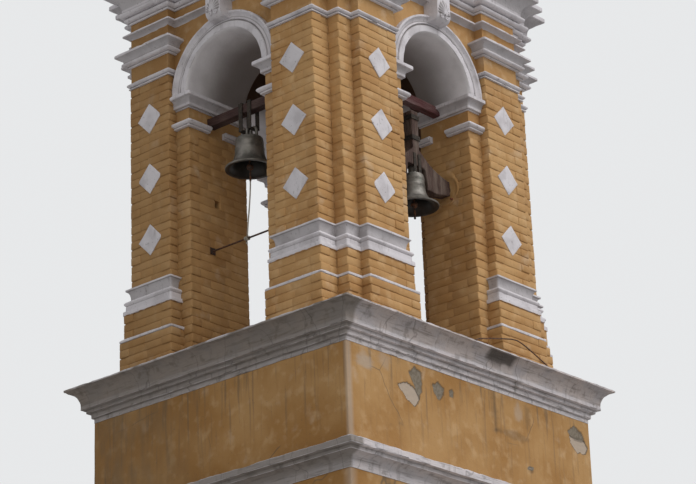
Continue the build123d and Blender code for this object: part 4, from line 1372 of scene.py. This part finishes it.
def canon_loops(centre, crown, top):
    """The loops on the crown of the fixed bell: one under each strap, and two bars between them."""
    bar, sunk, foot, strap_spread, loop_reach, bar_spread = 0.0125, 0.010, 0.045, 0.050, 0.034, 0.030
    height = top - crown
    arc = np.linspace(0, math.pi, 15)
    loops = []
    for side in (-strap_spread, strap_spread):
        rise = crown + foot + (height - foot - bar) * np.sin(arc)
        across = centre.y + side + loop_reach * np.cos(arc)
        loop = np.stack([np.full(arc.shape, centre.x), across, rise], axis=-1)
        feet = loop[[0, -1]].copy()
        feet[:, 2] = crown - sunk
        loops.append(tube(np.vstack([feet[:1], loop, feet[1:]]), bar))
    for side in (-bar_spread, bar_spread):
        lean = centre.x + side * (0.55 + 0.45 * np.cos(arc / 2))
        rise = crown - sunk + (height - bar + sunk) * np.sin(arc / 2)
        loops.append(tube(np.stack([lean, np.full(arc.shape, centre.y), rise], axis=-1), bar))
    return loops


def bell_stub(centre, crown, top):
    """The round stub between the crown of the swinging bell and its headstock."""
    radius, soft = 0.040, 0.006
    foot = crown - soft
    outline = [(0, top), (radius - soft, top), (radius, top - soft), (radius, foot), (0, foot)]
    return [lathe(outline, (centre.x, centre.y, 0), 24)]


def inner_side(outline, count):
    """1 at the vertices of a turned bell's inner side, and 0 at the rest of its count of vertices."""
    share = np.arange(len(outline) - 2) / (len(outline) - 2)
    inside = np.zeros(count)
    ring = np.tile(ease(share, 0.50, 0.56), lathe_segments)
    inside[: len(ring)] = ring
    return inside


def build_bells():
    """Both bells: height of the body, radius of the shoulder, what the crown carries, and rides."""
    bells = {
        "fixed_bell": ("cast_fixed_bell", 0.290, 0.117, canon_loops, "tower"),
        "swing_bell": ("cast_swinging_bell", 0.300, 0.092, bell_stub, "swinging_bell"),
    }
    for node_name, (name, body, shoulder, crown_parts, rides) in bells.items():
        low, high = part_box(node_name)
        centre = (low + high) / 2
        outline = bell_outline((high.y - low.y) / 2, body, shoulder)
        parts = [lathe(outline, (centre.x, centre.y, low.z))]
        parts += crown_parts(centre, low.z + body, high.z)
        vertices, faces = gather(parts)
        settings = {"slot": "bell_bronze", "crease": 60, "body": rides, "stands_for": [node_name]}
        bell = add_piece(name, vertices, faces, bell_metal, **settings)
        # The inner side is marked for the painted shade of the bronze
        put_values(bell, "inside", inner_side(outline, len(vertices)))


def evaluated_mesh(piece):
    """The mesh of an object after its modifiers."""
    return bpy.data.meshes.new_from_object(piece.evaluated_get(bpy.context.evaluated_depsgraph_get()))


def remeshed(node_name, voxel):
    """A copy of a CAD node's mesh, merged and cut into even faces."""
    mesh = cad_nodes[node_name].data.copy()
    shape = bmesh.new()
    shape.from_mesh(mesh)
    bmesh.ops.remove_doubles(shape, verts=shape.verts, dist=0.0001)
    shape.to_mesh(mesh)
    shape.free()
    worked = add_object("worked_" + node_name, mesh)
    remesh = worked.modifiers.new("even_faces", "REMESH")
    remesh.mode = "VOXEL"
    remesh.voxel_size = voxel
    finished = evaluated_mesh(worked)
    bpy.data.objects.remove(worked)
    return finished


def roughened(node_name, voxel, wear, name, material, slot, body="tower"):
    """A CAD node as an evenly divided mesh, moved along its normals by its wear."""
    mesh = remeshed(node_name, voxel)
    count = len(mesh.vertices)
    points, normals = np.empty(count * 3), np.empty(count * 3)
    mesh.vertices.foreach_get("co", points)
    mesh.vertices.foreach_get("normal", normals)
    points, normals = points.reshape(-1, 3), normals.reshape(-1, 3)
    points = points + normals * wear(points)[:, None]
    mesh.vertices.foreach_set("co", points.ravel())
    mesh.update()
    place_mesh(name, mesh, material, body, slot, [node_name], 60)


def hewn(stretch):
    """Wear of old hewn timber, drawn out along the grain."""

    def wear(points):
        drawn = points / np.array(stretch)
        waves = 0.0025 * lattice_noise(drawn, 0.05, 51) + 0.0015 * lattice_noise(drawn, 0.016, 52)
        checks = ease(lattice_noise(drawn, 0.022, 53), 0.45, 0.75)
        return waves - 0.003 - 0.005 * checks

    return wear


def build_timber():
    """The beams and the headstock, hewn along their grain."""
    slot = "old_timber"
    roughened("fixed_bell_beam", 0.007, hewn((1, 8, 1)), "hewn_bell_beam", brown_beam, slot)
    roughened("upper_beam", 0.007, hewn((8, 1, 1)), "hewn_upper_beam", red_beam, slot)
    upright = hewn((1, 1, 8))
    roughened("headstock", 0.0075, upright, "hewn_headstock", grey_headstock, slot, "swinging_bell")


def build_roof():
    """The roof slab, the dome and the finial, with lumpy plaster."""
    def lumps(points):
        waves = 0.006 * lattice_noise(points, 0.45, 61) + 0.003 * lattice_noise(points, 0.12, 62)
        return waves - 0.007

    def small_lumps(points):
        return 0.4 * lumps(points)

    roughened("roof_slab", 0.030, lumps, "worn_roof_slab", paint_roof, "ochre_plaster")
    roughened("dome", 0.028, lumps, "worn_dome", paint_roof, "ochre_plaster")
    roughened("dome_finial", 0.010, small_lumps, "worn_finial", paint_roof, "white_stucco")


def rope_line():
    """The rope's own line: points read from a smooth spline through its course."""
    top, foot = np.array(rope_top), np.array(rope_foot)
    curve = bpy.data.curves.new("rope_course", "CURVE")
    curve.dimensions = "3D"
    curve.resolution_u = 24
    spline = curve.splines.new("NURBS")
    spline.points.add(len(rope_course) - 1)
    for point, shares in zip(spline.points, rope_course):
        point.co = (*(top + (foot - top) * shares), 1)
    spline.order_u = 3
    spline.use_endpoint_u = True
    course = add_object("rope_course", curve)
    line = np.array([vertex.co for vertex in evaluated_mesh(course).vertices])
    bpy.data.objects.remove(course)
    return line


def laid_rope(line):
    """Strands of a laid rope that wind about a line, as one list of vertices and one of faces."""
    pitch, strands, steps_per_turn = 0.034, 3, 12
    run = np.linalg.norm(np.diff(line, axis=0), axis=1)
    reach = np.concatenate([[0], np.cumsum(run)])
    count = int(reach[-1] / pitch * steps_per_turn) + 1
    spot = np.linspace(0, reach[-1], count)
    middle = np.stack([np.interp(spot, reach, line[:, k]) for k in range(3)], axis=-1)
    along = np.gradient(middle, axis=0)
    along = along / np.linalg.norm(along, axis=1)[:, None]
    side = np.cross(along, (0.9, 0.1, 0.42))
    side = side / np.linalg.norm(side, axis=1)[:, None]
    other = np.cross(along, side)
    parts = []
    for strand in range(strands):
        angle = 2 * math.pi * (spot / pitch + strand / strands)
        around = np.cos(angle)[:, None] * side + np.sin(angle)[:, None] * other
        parts.append(tube(middle + 0.23 * rope_diameter * around, 0.30 * rope_diameter, 8))
    return gather(parts)


def build_rope():
    """The rope of the fixed bell, and its knot: three turns round the guard rod, and a tail."""
    settings = {"slot": "rope", "crease": 80}
    line = rope_line()
    rope = add_piece(
        "laid_bell_rope", *laid_rope(line), rope_cotton, stands_for=["bell_rope"], **settings
    )
    rod_low, rod_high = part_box("guard_rod")
    x, z = (rod_low.x + rod_high.x) / 2, (rod_low.z + rod_high.z) / 2
    turns = np.linspace(0, 3 * 2 * math.pi, 60)
    reach, turn_pitch = 0.0145, 0.0125
    tied = line[-1][1]
    y = tied - 0.016 + turn_pitch * turns / (2 * math.pi)
    around = np.column_stack([x + reach * np.sin(turns), y, z + reach * np.cos(turns)])
    tail = [(x + 0.016, tied + 0.024, z - 0.012), (x + 0.019, tied + 0.028, z - 0.036)]
    knot = add_piece("rope_knot", *laid_rope(np.vstack([around, tail])), rope_cotton, **settings)


def new_tree(name, inputs):
    """A Geometry Nodes tree from a geometry to a geometry, with the named inputs."""
    tree = bpy.data.node_groups.new(name, "GeometryNodeTree")
    tree.interface.new_socket("Geometry", in_out="INPUT", socket_type="NodeSocketGeometry")
    for label, kind in inputs.items():
        tree.interface.new_socket(label, in_out="INPUT", socket_type="NodeSocket" + kind)
    tree.interface.new_socket("Geometry", in_out="OUTPUT", socket_type="NodeSocketGeometry")
    return tree, tree.nodes.new("NodeGroupInput").outputs, tree.nodes.new("NodeGroupOutput").inputs


def named(tree, name, kind="FLOAT_VECTOR"):
    """A named attribute of the geometry."""
    made = new_node(tree, "GeometryNodeInputNamedAttribute", {"Name": name}, data_type=kind)
    return made.outputs["Attribute"]


def first_output(tree, kind, inputs, **settings):
    """The first output of a new node."""
    return new_node(tree, kind, inputs, **settings).outputs[0]


def brick_tree():
    """Bricks at points. Each has its own half sizes, turn and tone, soft edges and lumpy paint."""
    inputs = {
        "Brick": "Object", "Edge rounding": "Float", "Paint lumps": "Float",
        "Lump size": "Float", "Seed": "Float", "Paint": "Material",
    }
    tree, given, result = new_tree("painted_bricks", inputs)
    made = partial(first_output, tree)
    vector, single = "ShaderNodeVectorMath", "ShaderNodeMath"
    place = made("GeometryNodeInputPosition", {})
    inputs = {"Geometry": given["Geometry"], "Name": "centre", "Value": place}
    kinds = {"data_type": "FLOAT_VECTOR", "domain": "POINT"}
    centred = made("GeometryNodeStoreNamedAttribute", inputs, **kinds)
    brick = new_node(tree, "GeometryNodeObjectInfo", {"Object": given["Brick"]})
    inputs = {"Points": centred, "Instance": brick.outputs["Geometry"]}
    laid = made("GeometryNodeInstanceOnPoints", inputs)
    real = made("GeometryNodeRealizeInstances", {"Geometry": laid})
    rounding = given["Edge rounding"]
    inset = made("ShaderNodeCombineXYZ", {0: rounding, 1: rounding, 2: rounding})
    core = made(vector, {0: named(tree, "half"), 1: inset}, operation="SUBTRACT")
    corner = made(vector, {0: named(tree, "side"), 1: core}, operation="MULTIPLY")
    bulge = made(vector, {0: named(tree, "bulge"), "Scale": rounding}, operation="SCALE")
    spot = made(vector, {0: corner, 1: bulge}, operation="ADD")
    inputs = {"Vector": spot, "Angle": named(tree, "turn", "FLOAT")}
    spot = made("ShaderNodeVectorRotate", inputs, rotation_type="Z_AXIS")
    spot = made(vector, {0: spot, 1: named(tree, "centre")}, operation="ADD")
    shaped = made("GeometryNodeSetPosition", {"Geometry": real, "Position": spot})
    inputs = {"Vector": place, "W": given["Seed"], "Scale": given["Lump size"], "Detail": 1.0}
    lumps = made("ShaderNodeTexNoise", inputs, noise_dimensions="4D")
    lift = made(single, {0: lumps, 1: 0.5}, operation="SUBTRACT")
    lift = made(single, {0: lift, 1: given["Paint lumps"]}, operation="MULTIPLY")
    inputs = {0: made("GeometryNodeInputNormal", {}), "Scale": lift}
    offset = made(vector, inputs, operation="SCALE")
    worn = made("GeometryNodeSetPosition", {"Geometry": shaped, "Offset": offset})
    painted = made("GeometryNodeSetMaterial", {"Geometry": worn, "Material": given["Paint"]})
    tree.links.new(painted, result["Geometry"])
    return tree


def nail_tree():
    """Domed nail heads at points. Each faces its own way."""
    inputs = {"Head": "Object", "Head size": "Float", "Iron": "Material"}
    tree, given, result = new_tree("domed_nails", inputs)
    made = partial(first_output, tree)
    head = new_node(tree, "GeometryNodeObjectInfo", {"Object": given["Head"]})
    facing = made("FunctionNodeAlignRotationToVector", {"Vector": named(tree, "facing")}, axis="Z")
    inputs = {
        "Points": given["Geometry"], "Instance": head.outputs["Geometry"],
        "Rotation": facing, "Scale": given["Head size"],
    }
    set_in = made("GeometryNodeInstanceOnPoints", inputs)
    real = made("GeometryNodeRealizeInstances", {"Geometry": set_in})
    finished = made("GeometryNodeSetMaterial", {"Geometry": real, "Material": given["Iron"]})
    tree.links.new(finished, result["Geometry"])
    return tree


def build_nails():
    """Nail heads on the straps of both bells, the collars and the plates of the guard rod."""
    pairs = itertools.product
    low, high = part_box("fixed_bell_straps")
    still = [
        ((low.x if side < 0 else high.x, strap, high.z - level), (side, 0, 0))
        for side, strap, level in pairs((-1, 1), (-0.050, 0.050), (0.030, 0.075))
    ]
    low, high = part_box("guard_rod")
    middle = (low + high) / 2
    still += [
        ((middle.x + x, jamb * (opening_half - 0.008), middle.z + z), (0, -jamb, 0))
        for jamb, x, z in pairs((-1, 1), (-0.021, 0.021), (-0.021, 0.021))
    ]
    low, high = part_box("headstock_iron")
    rows = [(0.030, (low.z + 0.022, low.z + 0.125)), (0.028, (high.z - 0.020, high.z - 0.210))]
    moving = [
        ((belfry_x + across, low.y if side < 0 else high.y, level), (0, side, 0))
        for spread, levels in rows
        for side, across, level in pairs((-1, 1), (-spread, spread), levels)
    ]
    outline = [(0, 0.55), (0.45, 0.48), (0.85, 0.25), (1.0, 0.0), (0.9, -0.4), (0, -0.4)]
    head = add_object("nail_head", new_mesh("nail_head", *lathe(outline, (0, 0, 0), 10)))
    tree = nail_tree()
    inputs = {"Head": head, "Head size": nail_size, "Iron": dark_iron}
    runs = (("nails_of_the_tower", still, "tower"), ("nails_of_the_headstock", moving, "swinging_bell"))
    for name, nails, rides in runs:
        points, ways = zip(*nails)
        settings = {"slot": "iron", "body": rides}
        grown(name, points, {"facing": ways}, tree, inputs, dark_iron, **settings)
    bpy.data.objects.remove(head)


def soft_brick():
    """A unit brick whose vertices know their side and the way that their edge rounds."""
    long_stops = [(-1, -1), (-1, 0), (0, 0), (1, 0), (1, 1)]
    short_stops = [(-1, -1), (-1, 0), (1, 0), (1, 1)]
    stops = (long_stops, short_stops, short_stops)
    numbers, sides, bulges, faces = {}, [], [], []
    for axis in range(3):
        u, v = (axis + 1) % 3, (axis + 2) % 3
        for end in (0, len(stops[axis]) - 1):
            grid = {}
            for a, b in itertools.product(range(len(stops[u])), range(len(stops[v]))):
                spot = [0, 0, 0]
                spot[axis], spot[u], spot[v] = end, a, b
                if tuple(spot) not in numbers:
                    numbers[tuple(spot)] = len(sides)
                    pairs = [stops[k][spot[k]] for k in range(3)]
                    sides.append([side for side, bulge in pairs])
                    bulges.append(Vector([bulge for side, bulge in pairs]).normalized())
                grid[a, b] = numbers[tuple(spot)]
            for a, b in itertools.product(range(len(stops[u]) - 1), range(len(stops[v]) - 1)):
                face = [grid[a, b], grid[a + 1, b], grid[a + 1, b + 1], grid[a, b + 1]]
                faces.append(face if end else face[::-1])
    mesh = bpy.data.meshes.new("soft_brick")
    rounded = [[s + b for s, b in zip(side, bulge)] for side, bulge in zip(sides, bulges)]
    mesh.from_pydata(rounded, [], faces)
    carry(mesh, {"side": sides, "bulge": bulges})
    return add_object("soft_brick", mesh)


def carry(mesh, values):
    """Store named values on the points of a mesh: one number or one vector each."""
    for label, value in values.items():
        value = np.asarray(value, np.float32)
        kind, field = ("FLOAT", "value") if value.ndim == 1 else ("FLOAT_VECTOR", "vector")
        made = mesh.attributes.new(label, kind, "POINT")
        made.data.foreach_set(field, value.ravel())


def grown(name, points, values, tree, inputs, material, **settings):
    """A plain mesh piece that a tree grows at points, which carry the named values."""
    mesh = bpy.data.meshes.new(name + "_points")
    mesh.from_pydata(np.asarray(points, float).tolist(), [], [])
    carry(mesh, values)
    holder = add_object(name + "_points", mesh)
    modifier = holder.modifiers.new("grown", "NODES")
    modifier.node_group = tree
    for item in tree.interface.items_tree:
        if item.in_out == "INPUT" and item.name in inputs:
            modifier[item.identifier] = inputs[item.name]
    finished = evaluated_mesh(holder)
    bpy.data.objects.remove(holder)
    for label in ("side", "bulge", "centre", "half", "turn", "facing"):
        if label in finished.attributes:
            finished.attributes.remove(finished.attributes[label])
    return place_mesh(name, finished, material, **settings)


class Courses:
    """Brick courses laid along plan lines, gathered for one pier."""

    def __init__(self, turn, holes):
        self.turn, self.holes = turn, holes
        self.points, self.halves, self.turns, self.tones = [], [], [], []
        self.random = np.random.default_rng(71 + turn)

    def lay(self, line, low, high, proud, legs=None, first=0):
        """Courses from low to high over the belfry floor, on the chosen legs of a line."""
        line = np.asarray(line, float)
        count = max(1, round((high - low) / course_pitch))
        pitch = (high - low) / count
        ways = np.diff(line, axis=0)
        lengths = np.linalg.norm(ways, axis=1)
        ways = ways / lengths[:, None]
        bends = ways[:-1, 0] * ways[1:, 1] - ways[:-1, 1] * ways[1:, 0]
        for course, leg in itertools.product(range(count), legs or range(len(ways))):
            level = low + pitch * (course + 0.5)
            owns = (course + first + leg) % 2 == 0
            start, end = 0.0, lengths[leg]
            if leg > 0 and bends[leg - 1] > 0.5:
                start = -proud if owns else brick_depth + joint_width
            if leg < len(bends) and bends[leg] > 0.5:
                end = lengths[leg] + (proud if owns else -brick_depth - joint_width)
            if end - start < shortest_stretch:
                continue
            way = ways[leg]
            out = np.array((way[1], -way[0]))
            for a, b in self.spans(start, end, line[leg], way, out, level, pitch, course + leg):
                self.brick(line[leg], way, out, a, b, level, pitch, proud)

    def spans(self, start, end, origin, way, out, level, pitch, stagger):
        """Cut a stretch of one course into bricks, clear of the holes."""
        stretches = [(start, end)]
        for low, high in self.holes:
            if abs(level + belfry_level - (low[2] + high[2]) / 2) > (high[2] - low[2] + pitch) / 2:
                continue
            corners = np.array(list(itertools.product((low[0], high[0]), (low[1], high[1]))))
            corners = corners - turned(origin, self.turn)
            across, along = corners @ heading(out, self.turn), corners @ heading(way, self.turn)
            if across.min() > wall_reach or across.max() < -wall_reach:
                continue
            cut = (along.min(), along.max())
            stretches = [
                part
                for a, b in stretches
                for part in ((a, min(b, cut[0])), (max(a, cut[1]), b))
                if part[1] - part[0] > shortest_brick
            ]
        for a, b in stretches:
            count = max(1, round((b - a) / brick_length))
            cuts = np.linspace(a, b, count + 1)
            if count == 1 and b - a > longest_single_brick and stagger % 2:
                cuts = np.array((a, (a + b) / 2, b))
            cuts[1:-1] += self.random.uniform(-0.02, 0.02, len(cuts) - 2)
            yield from zip(cuts[:-1], cuts[1:])

    def brick(self, origin, way, out, start, end, level, pitch, proud):
        """One brick, with its own small errors of place, height and lean."""
        start, end = start + end_joint / 2, end - end_joint / 2
        along = turned(origin + way * (start + end) / 2, self.turn)
        course = (*(0.15 * along), level)
        proud = proud + 0.002 * lattice_noise(course, 0.05, 74) + self.random.uniform(-0.001, 0.001)
        middle = origin + way * (start + end) / 2 + out * (proud - brick_depth) / 2
        spot = turned(middle, self.turn)
        height = pitch - joint_width + 0.006 * lattice_noise(course, 0.06, 73)
        wave = 0.007 * lattice_noise((*along, level), 0.34, 72)
        level = belfry_level + level + wave + self.random.uniform(-0.001, 0.001)
        self.points.append((spot[0], spot[1], level))
        self.halves.append(((end - start) / 2, (brick_depth + proud) / 2, height / 2))
        lean = self.random.uniform(-0.006, 0.006)
        self.turns.append(math.atan2(way[1], way[0]) + math.radians(self.turn) + lean)
        self.tones.append(self.random.uniform(0, 1))


def whole_pier_line(sides):
    """Plan line round the outside of a pier, from one room arris to the other."""
    ahead, beside = sides
    mirrored_jamb = [(y, x) for x, y in reversed(jamb_line(beside)[1:])]
    return mirrored_jamb + pier_corners(pilaster_inner, sides) + jamb_line(ahead)[1:]


def offset_line(line, reach):
    """A plan line moved out by that reach."""
    return np.asarray(line, float) + mitred(line)[1] * reach


def wall_holes():
    """Boxes that bricks keep clear of: bearings, rod plates and the putlog hole."""
    bearing, plate, putlog, deep = 0.115, 0.004, 0.035, 0.03
    rod_low, rod_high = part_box("guard_rod")
    holes = []
    for side in (-1, 1):
        x = belfry_x + side * opening_half
        low = (x - deep, axle.y - bearing, axle.z - bearing)
        holes.append((low, (x + deep, axle.y + bearing, axle.z + bearing)))
    for side in (-1, 1):
        y = side * opening_half
        low = (rod_low.x - plate, y - deep, rod_low.z - plate)
        holes.append((low, (rod_high.x + plate, y + deep, rod_high.z + plate)))
    x, z = belfry_x - side_distance + putlog_in, belfry_level + putlog_up
    low = (x - putlog, opening_half - deep, z - putlog)
    holes.append((low, (x + putlog, opening_half + deep, z + putlog)))
    return holes


def build_bricks():
    """Bricks of the four piers: over the bases, beside them down to the floor, and in them."""
    tree, brick, holes = brick_tree(), soft_brick(), wall_holes()
    base_height = base_top - base_level
    neck = necking_level - base_level
    astragal = astragal_level - base_level
    foot_row, fillet_row, plinth_row = pilaster_base_rows[:3]
    for corner, sides in corner_sides.items():
        turn = side_turns[sides[0]]
        line = whole_pier_line(sides)
        last = len(line) - 2
        corner_legs = [last // 2, last // 2 + 1]
        pilaster_legs = [leg for leg in range(2, last - 1) if leg not in corner_legs]
        side_legs = [0, 1, last - 1, last]
        courses = Courses(turn, holes)
        courses.lay(line, base_height, neck, brick_proud, pilaster_legs)
        courses.lay(line, base_height, neck, strip_brick_proud, corner_legs)
        courses.lay(line, base_height, astragal, brick_proud, side_legs)
        courses.lay(line, bottom_joint, base_height, brick_proud, side_legs, first=1)
        base_line = pier_corners(pilaster_inner, sides)
        foot = offset_line(base_line, foot_row[1])
        courses.lay(foot, bottom_joint, foot_row[2], base_brick_proud)
        plinth = offset_line(base_line, plinth_row[1])
        low = foot_row[2] + fillet_row[2]
        courses.lay(plinth, low, low + plinth_row[2], base_brick_proud, first=1)
        inputs = {
            "Brick": brick, "Edge rounding": 0.008, "Paint lumps": 0.008,
            "Lump size": 22.0, "Seed": 3.0 + turn, "Paint": paint_on_brick,
        }
        values = {"half": courses.halves, "turn": courses.turns, "tone": courses.tones}
        name, slot = "bricks_" + corner, "ochre_brick"
        grown(name, courses.points, values, tree, inputs, paint_on_brick, slot=slot)
    bpy.data.objects.remove(brick)


build_rope()
build_shaft_coats()
build_cornices()
build_belfry_mouldings()
build_imposts()
build_arches()
build_lozenges()
build_shells()
build_bricks()
build_bearing_plaster()
build_pegs()
build_bells()
build_timber()
build_nails()
build_roof()
build_bent_rod()

# Camera, fitted to the tower's edges in the photograph
photo_width = 696
focal_pixels = 2569.73
camera_spot = Vector((-15.4742, -13.4387, 1.0675))
camera_yaw = math.radians(49.2831)
camera_pitch = math.radians(21.9937)
camera_roll = math.radians(-2.2283)


def add_camera():
    """The camera that took the photograph, as its fitted values place it."""
    lens = bpy.data.cameras.new("photo_camera")
    lens.sensor_width = 36
    lens.lens = focal_pixels * lens.sensor_width / photo_width
    lens.clip_end = 500
    camera = add_object("photo_camera", lens)
    ahead = Vector((
        math.sin(camera_yaw) * math.cos(camera_pitch),
        math.cos(camera_yaw) * math.cos(camera_pitch),
        math.sin(camera_pitch),
    ))
    level_right = Vector((math.cos(camera_yaw), -math.sin(camera_yaw), 0))
    level_up = level_right.cross(ahead)
    right = level_right * math.cos(camera_roll) + level_up * math.sin(camera_roll)
    up = level_up * math.cos(camera_roll) - level_right * math.sin(camera_roll)
    turn = Matrix((right, up, -ahead)).transposed()
    camera.matrix_world = Matrix.Translation(camera_spot) @ turn.to_4x4()
    bpy.context.scene.camera = camera


def seen_directly(tree):
    """1 for what the camera, a mirror or a glass shows, and 0 for light that falls on things."""
    rays = new_node(tree, "ShaderNodeLightPath").outputs
    total = rays["Is Camera Ray"]
    for name in ("Is Glossy Ray", "Is Transmission Ray"):
        inputs = {0: total, 1: rays[name]}
        total = new_node(tree, "ShaderNodeMath", inputs, operation="MAXIMUM").outputs[0]
    return total


def shown_colour(tree, lighting, shown):
    """A linear colour that lights things, and another that the camera sees."""
    inputs = {0: seen_directly(tree), 6: lighting, 7: shown}
    return new_node(tree, "ShaderNodeMix", inputs, data_type="RGBA").outputs[2]


def add_floor():
    """A wide studio floor at ground level, only for lighting and looks."""
    half = 60
    mesh = bpy.data.meshes.new("studio_floor")
    corners = [(-half, -half, 0), (half, -half, 0), (half, half, 0), (-half, half, 0)]
    mesh.from_pydata(corners, [], [(0, 1, 2, 3)])
    floor = add_object("studio_floor", mesh)
    finish = Finish("pale_studio_floor", 0.9, specular=0.5)
    finish.colour = shown_colour(finish.tree, linear(floor_bounce), linear(floor_shown))
    mesh.materials.append(finish.done())


def add_light():
    """A pale sky that is darker below, a soft key lamp from the front and a weak one beside it."""
    world = bpy.data.worlds.new("studio_light")
    world.use_nodes = True
    bpy.context.scene.world = world
    tree = world.node_tree
    way = new_node(tree, "ShaderNodeTexCoord").outputs["Generated"]
    height = new_node(tree, "ShaderNodeSeparateXYZ", {0: way}).outputs["Z"]
    inputs = {0: height, 6: sky_low, 7: sky_high}
    sky = new_node(tree, "ShaderNodeMix", inputs, data_type="RGBA").outputs[2]
    tree.links.new(shown_colour(tree, sky, sky_shown), tree.nodes["Background"].inputs["Color"])
    add_lamp("soft_key_light", 2.15, 50, (0.25, -1.0, 1.15), (1, 1, 1))
    add_lamp("soft_fill_light", 0.55, 70, (-1.0, -0.75, 0.25), (1, 0.97, 0.86))


def add_lamp(name, energy, spread, towards, colour):
    """A sunlamp that shines from that way, with its spread in degrees."""
    lamp = bpy.data.lights.new(name, "SUN")
    lamp.energy = energy
    lamp.color = colour
    lamp.angle = math.radians(spread)
    sun = add_object(name, lamp)
    sun.matrix_world = Vector(towards).to_track_quat("Z", "Y").to_matrix().to_4x4()


add_camera()
add_floor()
add_light()
bpy.context.scene.view_settings.view_transform = "Standard"
